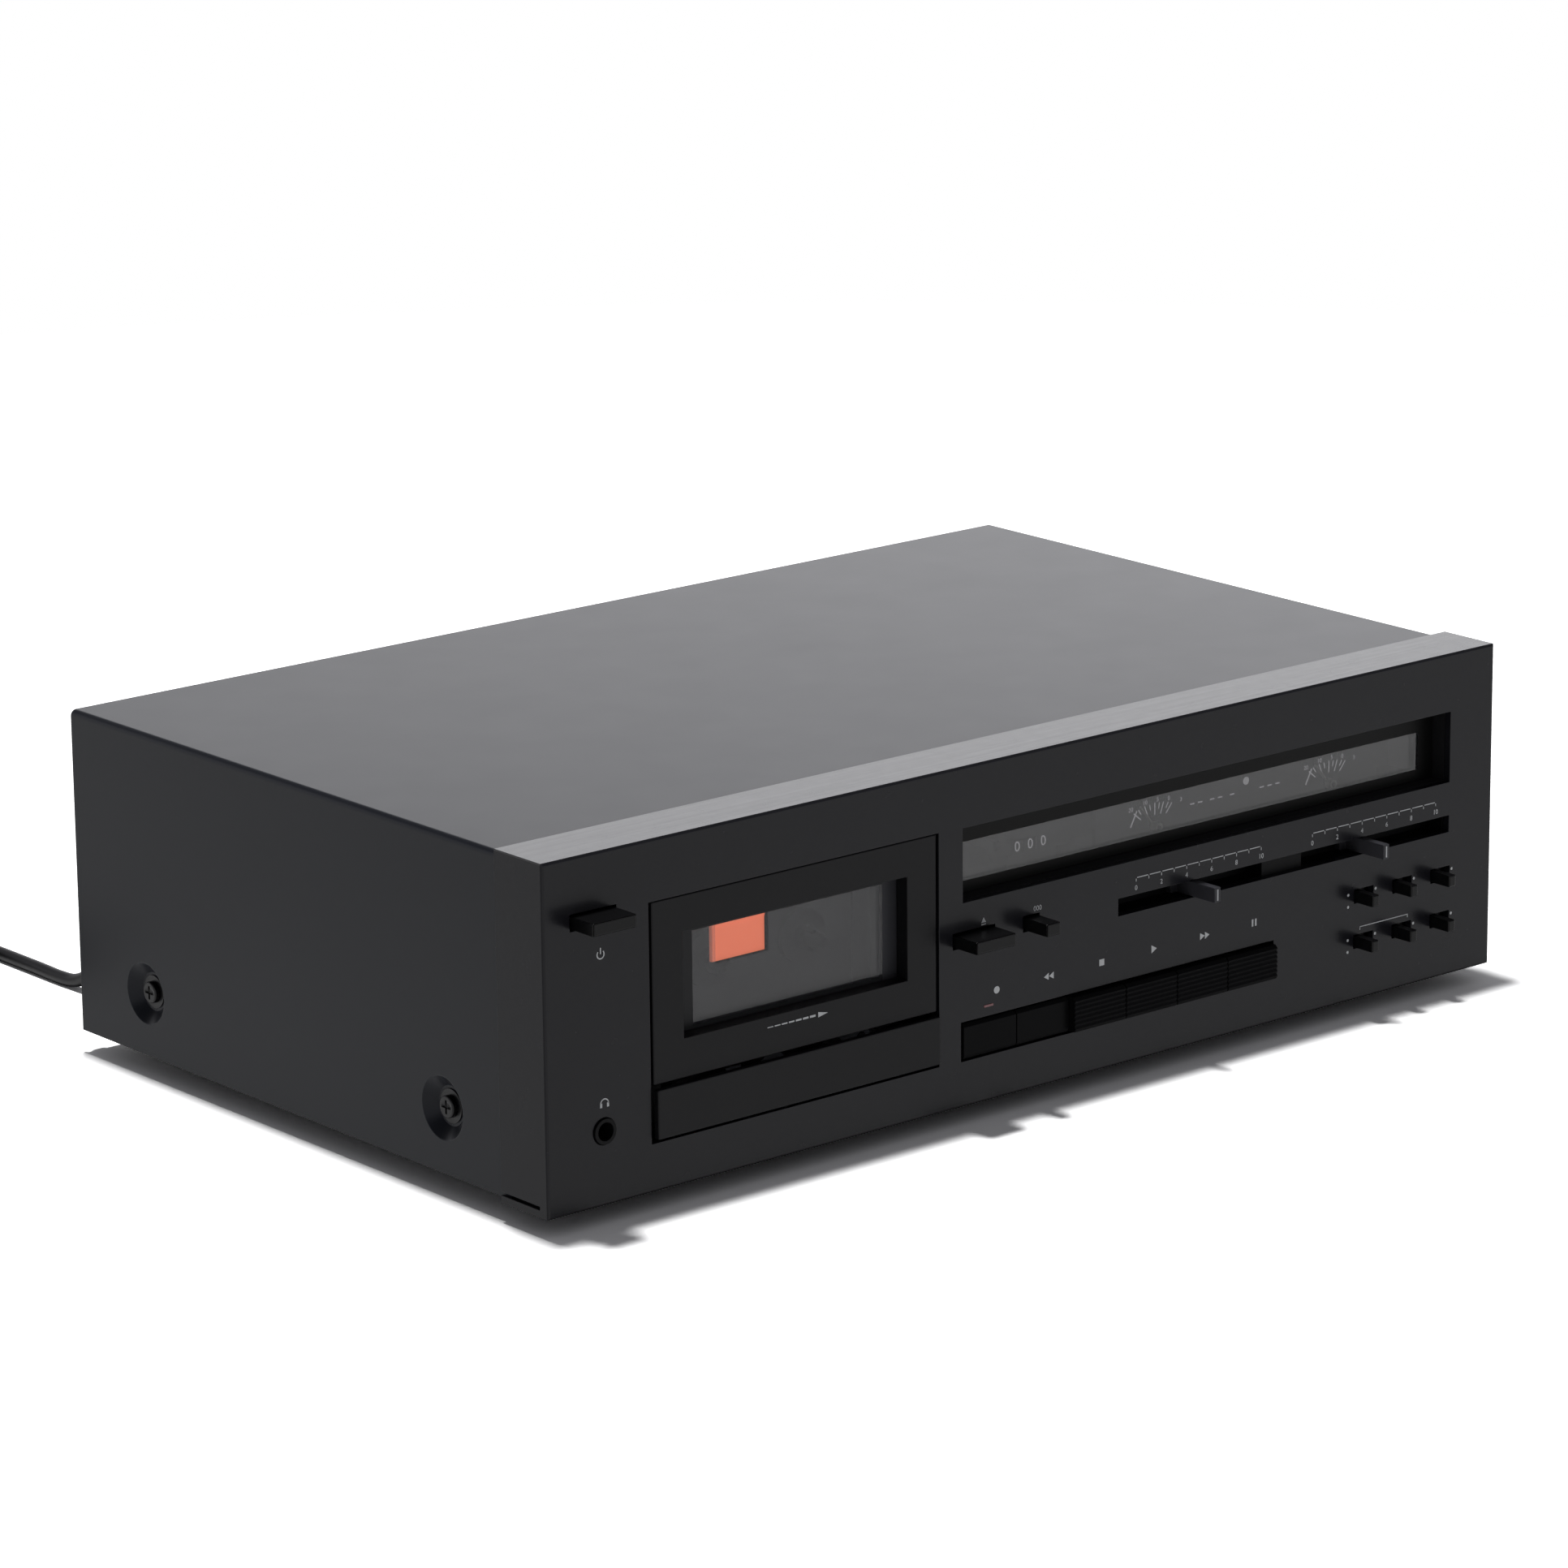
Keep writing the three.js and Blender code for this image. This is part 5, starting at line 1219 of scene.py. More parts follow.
    def add_lamp(self, name: str, place: Vector, size: float, power: float) -> None:
        """Adds one square lamp that faces the deck.

        Args:
            name: The lamp's name.
            place: Where it hangs.
            size: The length of its sides.
            power: Its power in watts.
        """
        light = bpy.data.lights.new(name, "AREA")
        light.size = size
        light.energy = power
        lamp = bpy.data.objects.new(name, light)
        lamp.location = place
        lamp.rotation_euler = (place - Vector((0, 0, self.aim_height))).to_track_quat("Z", "Y").to_euler()
        bpy.context.scene.collection.objects.link(lamp)
        log.info("%s", name)

    def set_world(self) -> None:
        """Makes the world white to look at and moderate as a light, with a dim ceiling in gloss."""
        world = bpy.data.worlds.new("studio")
        bpy.context.scene.world = world
        graph = Graph(world, "ShaderNodeOutputWorld")
        rise = graph.part(graph.node("ShaderNodeTexCoord", output="Generated"), "Z")
        ceiling = graph.between(rise, self.ceiling_rise)
        dimmed = 1 - ceiling * graph.node("ShaderNodeLightPath", output="Is Glossy Ray")
        strength = self.sky_level + self.seen_directly(graph) * dimmed * (1 - self.sky_level)
        inputs = {"Color": self.sky_colour, "Strength": strength}
        graph.finish(graph.node("ShaderNodeBackground", None, inputs))


@dataclass
class MainsLead:
    """The lead: out of the strain relief, down to the floor, and into a tied coil behind the deck."""

    diameter_mm: float = 5.2
    exit_mm: Sizes = (46.0, 306.3, 20.0)
    axis_height_mm: float = -4.35
    stub_mm: float = 6.0
    bend_radius_mm: float = 24.0
    shift_mm: float = -2.5
    coil_centre_mm: Sizes = (0.9, 432.0)
    coil_radius_mm: float = 42.6
    pitch_mm: float = 5.75
    turns_in: int = 4
    steps_per_turn: int = 24
    tail_mm: float = 34.0
    floor_end_mm: float = 426.5
    bend_steps: int = 5
    floor_steps: int = 4
    curve_steps: int = 3
    curve_sides: int = 4
    tie_width_mm: float = 9.0
    tie_wall_mm: float = 0.8
    tie_rows_past: float = 1.4
    plug_edge_mm: float = 0.4
    relief_edge_mm: float = 0.25

    def build(self) -> None:
        """Builds the lead, its strain relief, its tie and its plug."""
        route = self.route()
        lead = self.add_curve(route)
        tie = self.build_tie()
        plug = soften(
            "moulded_plug", "mains_plug", (PLUG_FINISH, "lead"), "deck", self.plug_edge_mm * MM, 3,
            MOULDED_EDGE,
        )
        relief = soften(
            "ribbed_strain_relief", "strain_relief", (RUBBER_FINISH, "rubber"), "deck",
            self.relief_edge_mm * MM, 2, MOULDED_EDGE,
        )
        length = sum((b - a).length for a, b in zip(route, route[1:]))

    def route(self) -> list[Vector]:
        """Works out the points that the lead follows.

        Returns:
            The points, from the strain relief to the plug.
        """
        x, y, z = self.exit_mm
        points = [on_front(x, z, y), on_front(x, z, y + self.stub_mm)]
        points += self.fall_points()
        landed = (points[-1].y - PANEL[0].y) / MM
        for step in range(1, self.floor_steps + 1):
            run = landed + (self.floor_end_mm - landed) * step / self.floor_steps
            points.append(on_front(x + self.shift_mm, self.axis_height_mm, run))
        return points + self.coil_points()

    def fall_points(self) -> list[Vector]:
        """Works out the two even bends that bring the lead down to the floor.

        Returns:
            The points along both bends.
        """
        x, y, z = self.exit_mm
        start = y + self.stub_mm
        drop = z - self.axis_height_mm
        full_turn = math.acos(1 - drop / (self.bend_radius_mm * 2))
        full_run = self.bend_radius_mm * math.sin(full_turn) * 2
        points = []
        steps = self.bend_steps
        for step in range(1, steps * 2 + 1):
            turned = full_turn * (1 - abs(1 - step / steps))
            run = self.bend_radius_mm * math.sin(turned)
            sink = self.bend_radius_mm * (1 - math.cos(turned))
            second = step > steps
            along = full_run - run if second else run
            height = self.axis_height_mm + sink if second else z - sink
            points.append(on_front(x + self.shift_mm * along / full_run, height, start + along))
        return points

    def coil_points(self) -> list[Vector]:
        """Works out the coil: in along the floor, up a layer, out again, and its straight tail.

        Returns:
            The points of the coil and the tail.
        """
        centre_x, centre_y = self.coil_centre_mm
        spiral = self.turns_in * self.steps_per_turn
        climb_steps = self.steps_per_turn // 2
        total = spiral * 2 + climb_steps
        points = []
        for step in range(total + 1):
            angle = step * math.tau / self.steps_per_turn
            inward = (total / 2 - abs(step - total / 2)) / self.steps_per_turn
            radius = self.coil_radius_mm - self.pitch_mm * inward
            climb = min(max((step - spiral) / climb_steps, 0), 1)
            height = self.axis_height_mm + self.pitch_mm * climb
            x = centre_x + radius * math.cos(angle)
            y = centre_y + radius * math.sin(angle)
            points.append(on_front(x, height, y))
        last = points[-1]
        tail = self.tail_mm * MM
        points.append(last - Vector((0, tail / 2, 0)))
        points.append(last - Vector((0, tail, 0)))
        return points

    def add_curve(self, route: list[Vector]) -> bpy.types.Object:
        """Adds the lead as one round curve along its route.

        Args:
            route: The points that it follows.

        Returns:
            The curve.
        """
        curve = bpy.data.curves.new("mains_lead_flex", "CURVE")
        curve.dimensions = "3D"
        spline = curve.splines.new("BEZIER")
        spline.bezier_points.add(len(route) - 1)
        for point, place in zip(spline.bezier_points, route):
            point.co = place
            point.handle_left_type = "AUTO"
            point.handle_right_type = "AUTO"
        spline.resolution_u = self.curve_steps
        curve.bevel_depth = self.diameter_mm * MM / 2
        curve.bevel_resolution = self.curve_sides
        curve.use_fill_caps = True
        curve.materials.append(LEAD_FINISH.material())
        lead = bpy.data.objects.new("mains_lead_flex", curve)
        bpy.context.scene.collection.objects.link(lead)
        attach(lead, "deck")
        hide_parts("mains_lead", "lead_coil")
        log.info("mains_lead_flex: %d points", len(route))
        return lead

    def build_tie(self) -> Piece:
        """Builds the band that holds the coil together, round its far side.

        Returns:
            The band.
        """
        centre_x, centre_y = self.coil_centre_mm
        low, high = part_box("lead_coil")
        radius = self.coil_radius_mm - self.pitch_mm * self.turns_in / 2
        middle = on_front(centre_x, self.axis_height_mm + self.pitch_mm / 2, centre_y + radius)
        width, wall = self.tie_width_mm * MM, self.tie_wall_mm * MM
        across = self.pitch_mm * MM * (self.turns_in + self.tie_rows_past)
        half = Vector((width / 2, across / 2, (high.z - low.z) / 2))
        outer = Piece.block("lead_tie", middle - half, middle + half + Vector((0, 0, wall)))
        inner_half = Vector((width, half.y - wall, half.z - wall / 2))
        inner = Piece.block("tie_hole", middle - inner_half, middle + inner_half)
        inner.rounded(self.diameter_mm * MM / 3, 4)
        outer.rounded(self.diameter_mm * MM / 3, 4).carved(inner)
        outer.smoothed(TURNED_EDGE)
        return outer.dressed(RUBBER_FINISH, "deck", "lead")


@dataclass
class Casework:
    """The cover, front panel, chassis, rear panel, feet and screws."""

    soft_edge_mm: float = 0.2
    foot_edge_mm: float = 0.8
    foot_edge_angle: float = 50.0
    screw_head_mm: Sizes = (4.0, 2.4)
    screw_head_edge_mm: float = 0.7
    screw_shank_mm: Sizes = (2.0, 8.0)
    screw_cross_mm: Sizes = (5.0, 1.0, 1.1)
    screw_sides: int = 40
    shank_sides: int = 20
    washer_mm: Sizes = (6.2, 4.05)
    washer_thickness_mm: float = 0.5
    washer_rise_mm: float = 0.15
    washer_cut_mm: float = 2.0
    plate_screw_mm: Sizes = (2.9, 1.4)
    plate_screw_edge_mm: float = 0.45
    plate_screw_rise_mm: float = 0.6
    plate_screw_inset_mm: float = 5.0
    plate_cross_mm: Sizes = (1.7, 0.8, 0.4)
    foot_screw_mm: Sizes = (3.0, 2.2)
    foot_screw_edge_mm: float = 0.5
    foot_screw_rise_mm: float = 1.5
    small_screw_sides: int = 28

    def build(self) -> None:
        """Builds the softened shells and dresses what stays."""
        edge = self.soft_edge_mm * MM
        soften("panel_moulding", "front_panel", (PANEL_FINISH, "panel"), "deck", edge)
        soften("folded_cover", "top_cover", (COVER_FINISH, "cover"), "deck", edge)
        dress_node("rear_panel", BLACK_SHEET_FINISH)
        self.build_plate_screws()
        self.build_foot_screws()
        dress_node("bottom_chassis", BLACK_SHEET_FINISH)
        for end in ENDS:
            for side in SIDES:
                soften(
                    f"rubber_foot_{end}_{side}", f"foot_{end}_{side}", (RUBBER_FINISH, "rubber"),
                    "deck", self.foot_edge_mm * MM, 3, self.foot_edge_angle,
                )
                self.build_screw(side, end)

    @staticmethod
    def cut_cross(head: Piece, face: Vector, halves: Iterable[Vector]) -> None:
        """Cuts a cross into a screw's head.

        Args:
            head: The head.
            face: The middle of its face.
            halves: Half the size of each arm.
        """
        for half in halves:
            head.carved(Piece.block("cross", face - half, face + half))

    def build_screw(self, side: str, end: str) -> None:
        """Builds one cover screw with a cross in its head.

        Args:
            side: left or right.
            end: front or rear.
        """
        node = f"cover_screw_{side}_{end}"
        low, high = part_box(node)
        middle = (low + high) / 2
        face, inward = (low.x, 1) if side == "left" else (high.x, -1)
        sides = self.screw_sides

        def rod(name: str, depth: float, radius: float, length: float, corners: int) -> Piece:
            """Makes a rod on the screw's axis, with its middle a depth below the face, all in mm."""
            place = Vector((face + inward * depth * MM, middle.y, middle.z))
            return Piece.rod(name, place, radius * MM, length * MM, Axis.X, corners)

        radius, height = self.screw_head_mm
        head = rod("head", height / 2, radius, height, sides)
        head.rounded(self.screw_head_edge_mm * MM, 4, TURNED_EDGE)
        arm, width, depth = self.screw_cross_mm
        self.cut_cross(head, Vector((face, middle.y, middle.z)), (
            Vector((depth, long / 2, tall / 2)) * MM for long, tall in ((arm, width), (width, arm))
        ))
        seat = height - self.washer_rise_mm
        outer, inner = self.washer_mm
        washer = rod("washer", seat, outer, self.washer_thickness_mm, sides)
        washer.rounded(self.soft_edge_mm * MM, 2, TURNED_EDGE)
        washer.carved(rod("hole", seat, inner, self.washer_cut_mm, sides))
        radius, length = self.screw_shank_mm
        thread = rod("thread", height + length / 2, radius, length, self.shank_sides)
        screw = head.joined((washer, thread))
        screw.thing.name = f"cross_head_screw_{side}_{end}"
        screw.smoothed(MOULDED_EDGE).dressed(SCREW_FINISH, "deck", "screw", node)

    def build_plate_screws(self) -> None:
        """Builds the small screws that hold the rear plate, and copies each to its place."""
        low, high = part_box("rear_panel")
        inset = self.plate_screw_inset_mm * MM
        first = Vector((low.x + inset, high.y + self.plate_screw_rise_mm * MM, low.z + inset))
        radius, height = (size * MM for size in self.plate_screw_mm)
        screw = Piece.rod("screw", first, radius, height, Axis.Y, self.small_screw_sides)
        screw.rounded(self.plate_screw_edge_mm * MM, 3, TURNED_EDGE)
        arm, depth, width = self.plate_cross_mm
        self.cut_cross(screw, first + Vector((0, height / 2, 0)), (
            Vector((long, depth, tall)) * MM for long, tall in ((arm, width), (width, arm))
        ))
        screw.smoothed(MOULDED_EDGE)
        spans = (0, (high.x - low.x) / 2 - inset, high.x - low.x - inset * 2)
        for row, rise in enumerate((0, high.z - low.z - inset * 2)):
            for column, run in enumerate(spans):
                copy = screw.copied(
                    f"plate_screw_{row}_{column}", Matrix.Translation(Vector((run, 0, rise)))
                )
                copy.dressed(SCREW_FINISH, "deck", "screw")
        bpy.data.objects.remove(screw.thing)

    def build_foot_screws(self) -> None:
        """Builds the screw in the middle of each foot's hollow."""
        first = middle_of("foot_front_left")
        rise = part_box("foot_front_left")[0].z + self.foot_screw_rise_mm * MM
        radius, height = (size * MM for size in self.foot_screw_mm)
        place = Vector((first.x, first.y, rise))
        screw = Piece.rod("screw", place, radius, height, Axis.Z, self.small_screw_sides)
        screw.rounded(self.foot_screw_edge_mm * MM, 3, TURNED_EDGE)
        for end in ENDS:
            for side in SIDES:
                away = middle_of(f"foot_{end}_{side}") - first
                move = Matrix.Translation(Vector((away.x, away.y, 0)))
                copy = screw.copied(f"foot_screw_{end}_{side}", move)
                copy.dressed(SCREW_FINISH, "deck", "screw")
        bpy.data.objects.remove(screw.thing)


@dataclass
class CassetteDoor:
    """The door with its window, the strip below it, the holder and the block behind the window."""

    edge_mm: float = 0.3
    top_lift_mm: float = 1.0
    arrow_left_mm: float = 95.8
    arrow_right_mm: float = 123.1
    arrow_rise_mm: float = 48.0
    arrow_steps: int = 7
    arrow_head_mm: float = 5.2
    arrow_head_share: float = 0.55
    arrow_head_half_mm: float = 1.1
    dash_height_mm: float = 0.3
    dash_growth_mm: float = 0.08
    dash_share: float = 0.8

    def build(self) -> None:
        """Builds the door's pieces."""
        edge = self.edge_mm * MM
        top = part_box("cassette_door")[1].z - edge
        door = Piece.from_node("door_frame", "cassette_door")
        door.nudged(lambda place: place.z > top, Vector((0, 0, self.top_lift_mm * MM)))
        door.rounded(edge).dressed(DOOR_FINISH, "door", "door", "cassette_door")
        soften("window_pane", "door_window", (WINDOW_FINISH, "smoked_lens"), "door", edge / 3)
        soften("head_cover_strip", "head_cover", (DOOR_FINISH, "door"), "door", edge)
        soften(
            "holder_tray", "cassette_holder", (HOLDER_FINISH, "trim"), "door", edge / 3, 1,
            TURNED_EDGE,
        )
        soften("block_in_window", "holder_block", (ORANGE_FINISH, "orange"), "door", edge / 2)
        self.print_arrow()

    def print_arrow(self) -> None:
        """Prints the broken arrow under the window, which shows the way that the tape runs."""
        head, share = self.arrow_head_mm, self.arrow_head_share
        pitch = (self.arrow_right_mm - head - self.arrow_left_mm) / self.arrow_steps
        dashes = []
        for step in range(self.arrow_steps):
            place = on_front(self.arrow_left_mm + pitch * (step + 0.5), self.arrow_rise_mm)
            height = (self.dash_height_mm + self.dash_growth_mm * step) * MM
            dashes.append(Piece.sheet("dash", place, pitch * self.dash_share * MM, height))
        place = on_front(self.arrow_right_mm - head * share, self.arrow_rise_mm)
        tip = Piece.flat("tip", place, 1, 3, math.pi / 2)
        tip.stretched(head * share * MM, self.arrow_head_half_mm * MM)
        arrow = tip.joined(dashes)
        arrow.thing.name = "tape_arrow"
        arrow.thickened(INK_THICKNESS).dressed(INK_FINISH, "door")


@dataclass
class Display:
    """The smoked lens with the counter and the two meters behind it."""

    figure_height_mm: float = 3.9
    mask_open_mm: float = 4.5
    mask_gap_mm: float = 0.12
    mask_past_mm: float = 3.0
    fan_height: float = 0.8
    fan_spread: float = 1.8
    fan_shift_mm: float = 2.0
    stroke_turn: float = 0.5
    needle_pivots_mm: Sizes = (291.4, 379.4)
    pivot_rise_mm: float = 80.1
    card_setback_mm: float = 17.6
    tick_inner_mm: float = 4.9
    tick_outer_mm: float = 9.4
    tick_width_mm: float = 0.45
    tick_turn: float = 1.2
    tick_degrees: Sizes = (-42, -30, -19, -9, 0, 8, 16, 24, 33)
    number_degrees: tuple[tuple[str, float], ...] = (
        ("20", -36), ("10", -14), ("5", 4), ("0", 20), ("3", 40)
    )
    number_past_mm: float = 1.8
    number_height_mm: float = 1.7
    stroke_mm: Sizes = (0.6, 6.4)
    stroke_rise_mm: float = 3.6
    small_marks_mm: Sizes = (312, 316, 322, 326, 332, 347, 351, 355)
    small_mark_rise_mm: float = 84.2
    small_mark_mm: Sizes = (2.2, 0.5)
    lamp_place_mm: Sizes = (339.0, 88.0)
    lamp_radius_mm: float = 1.5
    lamp_corners: int = 20
    lens_edge_mm: float = 0.15
    drum_edge_mm: float = 0.2

    def build(self) -> None:
        """Builds the lens, the figures on the drums and the marks on the dial card."""
        lens_edge = self.lens_edge_mm * MM
        look = (LENS_FINISH, "smoked_lens")
        soften("display_glass", "display_lens", look, "deck", lens_edge)
        dress_node("display_housing", CARD_FINISH)
        for side in SIDES:
            dress_node(f"meter_needle_{side}", NEEDLE_FINISH)
        self.build_drums()
        self.build_mask()
        self.print_dials()

    def build_mask(self) -> None:
        """Builds the two thin strips behind the lens that leave one row of figures in sight."""
        low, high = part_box("counter_drum_hundreds")
        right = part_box("counter_drum_units")[1].x
        lens_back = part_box("display_lens")[1].y
        middle = (low.z + high.z) / 2
        height = (high.z - low.z - self.mask_open_mm * MM) / 2
        width = right - low.x + self.mask_past_mm * MM * 2
        strips = []
        for side in (-1, 1):
            z = middle + side * (self.mask_open_mm * MM + height) / 2
            place = Vector(((low.x + right) / 2, lens_back + self.mask_gap_mm * MM, z))
            strips.append(Piece.sheet("counter_mask", place, width, height))
        strips[0].joined(strips[1:]).thickened(INK_THICKNESS * 2).dressed(CARD_FINISH, "deck")

    def build_drums(self) -> None:
        """Builds each drum's softened rim and its ring of figures."""
        figures = self.ring_of_figures()
        first = middle_of("counter_drum_units")
        for place in ("units", "tens", "hundreds"):
            node = f"counter_drum_{place}"
            edge = self.drum_edge_mm * MM
            soften(f"figure_drum_{place}", node, (KNOB_FINISH, "knob"), node, edge, 2, TURNED_EDGE)
            move = Matrix.Translation(middle_of(node) - first)
            figures.copied(f"figures_{place}", move).dressed(DIAL_FINISH, node)
        bpy.data.objects.remove(figures.thing)

    def ring_of_figures(self) -> Piece:
        """Builds the ten figures that lie round the units drum.

        Returns:
            The figures, as one piece.
        """
        low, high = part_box("counter_drum_units")
        centre = (low + high) / 2
        radius = (high.z - low.z) / 2
        figures = []
        for digit in range(10):
            front = centre - Vector((0, radius, 0))
            figure = Piece.lettering("figure", str(digit), self.figure_height_mm * MM, front)
            figure.open()
            bpy.ops.mesh.select_all(action="SELECT")
            bpy.ops.mesh.subdivide(number_cuts=1)
            figure.close()
            self.wrap(figure, centre, radius + INK_THICKNESS)
            about = turn_about(centre, math.tau * digit / 10, Axis.X)
            figure.thickened(INK_THICKNESS * 2).thing.data.transform(about)
            figures.append(figure)
        return figures[0].joined(figures[1:])

    @staticmethod
    def wrap(figure: Piece, centre: Vector, radius: float) -> None:
        """Bends a flat figure round an axis along X.

        Args:
            figure: The figure, flat and facing the front.
            centre: A place on the axis.
            radius: The distance of the bent figure from the axis.
        """
        for vertex in figure.thing.data.vertices:
            angle = (vertex.co.z - centre.z) / radius
            vertex.co.y = centre.y - radius * math.cos(angle)
            vertex.co.z = centre.z + radius * math.sin(angle)

    def print_dials(self) -> None:
        """Prints the two fans of marks, the small marks between them and the round mark."""
        y = self.card_setback_mm
        marks = []
        for pivot in self.needle_pivots_mm:
            for number, degrees in enumerate(self.tick_degrees):
                marks.append(self.tick(pivot, degrees, number % 2 == 0))
            for number, degrees in self.number_degrees:
                place = self.fan_place(pivot, self.tick_outer_mm + self.number_past_mm, degrees)
                marks.append(Piece.lettering("mark", number, self.number_height_mm * MM, place))
            left = pivot - self.tick_outer_mm + self.fan_shift_mm / 2
            place = on_front(left, self.pivot_rise_mm + self.stroke_rise_mm, y)
            marks.append(self.oblong(place, self.stroke_mm))
            marks[-1].thing.data.transform(turn_about(place, self.stroke_turn, Axis.Y))
        for x in self.small_marks_mm:
            marks.append(self.oblong(on_front(x, self.small_mark_rise_mm, y), self.small_mark_mm))
        place = on_front(*self.lamp_place_mm, y)
        marks.append(Piece.flat("mark", place, self.lamp_radius_mm * MM, self.lamp_corners))
        dials = marks[0].joined(marks[1:])
        dials.thing.name = "dial_marks"
        dials.thickened(INK_THICKNESS * 2).dressed(DIAL_FINISH, "deck")

    @staticmethod
    def oblong(place: Vector, size_mm: Sizes) -> Piece:
        """Builds a flat oblong mark of a width and a height in mm."""
        return Piece.sheet("mark", place, size_mm[0] * MM, size_mm[1] * MM)

    def fan_place(self, pivot: float, reach: float, degrees: float) -> Vector:
        """Gives a place on the card in a meter's fan.

        Args:
            pivot: The needle's pivot, in mm from the panel's left.
            reach: The distance from the pivot, in mm.
            degrees: The angle to the right of upright.

        Returns:
            The place.
        """
        angle = math.radians(degrees)
        x = pivot + self.fan_shift_mm + reach * math.sin(angle) * self.fan_spread
        z = self.pivot_rise_mm + reach * math.cos(angle) * self.fan_height
        return on_front(x, z, self.card_setback_mm)

    def tick(self, pivot: float, degrees: float, long: bool) -> Piece:
        """Builds one mark of a fan.

        Args:
            pivot: The needle's pivot, in mm from the panel's left.
            degrees: The mark's angle to the right of upright.
            long: Whether it is one of the long marks.

        Returns:
            The mark, flat.
        """
        inner = self.tick_inner_mm if long else (self.tick_inner_mm + self.tick_outer_mm) / 2
        place = self.fan_place(pivot, (inner + self.tick_outer_mm) / 2, degrees)
        mark = self.oblong(place, (self.tick_width_mm, self.tick_outer_mm - inner))
        turn = math.radians(degrees) * self.tick_turn
        mark.thing.data.transform(turn_about(place, turn, Axis.Y))
        return mark


@dataclass
class Controls:
    """Everything on the front that a finger moves, and the headphone socket."""

    edge_mm: float = 0.3
    lever_edge_share: float = 0.7
    key_edge_angle: float = 20.0
    slider_line_mm: Sizes = (0.55, 4.2)

    def build(self) -> None:
        """Builds the buttons, keys, sliders and switches."""
        edge = self.edge_mm * MM
        knob, key = (KNOB_FINISH, "knob"), (KEY_FINISH, "knob")
        for name in ("power", "eject", "counter_reset"):
            soften(f"{name}_cap", f"{name}_button", knob, f"{name}_button", edge)
        for name in KEYS:
            node = f"key_{name}"
            soften(f"{name}_key_cap", node, key, node, edge / 3, 2, self.key_edge_angle)
        for side in SIDES:
            self.build_slider(side)
        for number in range(1, 7):
            node = f"mode_switch_{number}"
            soften(f"switch_lever_{number}", node, knob, node, edge * self.lever_edge_share)
        look = (TRIM_FINISH, "trim")
        soften("phones_bush", "phones_jack", look, "deck", edge / 2, 2, TURNED_EDGE)

    def build_slider(self, side: str) -> None:
        """Builds one level slider with the white line down its front end.

        Args:
            side: left or right.
        """
        node = f"level_slider_{side}"
        low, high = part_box(node)
        edge = self.edge_mm * MM * self.lever_edge_share
        soften(f"slider_blade_{side}", node, (SLIDER_FINISH, "knob"), node, edge)
        width, height = (part * MM for part in self.slider_line_mm)
        centre = Vector(((low.x + high.x) / 2, low.y, (low.z + high.z) / 2))
        line = Piece.sheet(f"slider_line_{side}", centre, width, height)
        line.thickened(INK_THICKNESS).dressed(INK_FINISH, node)


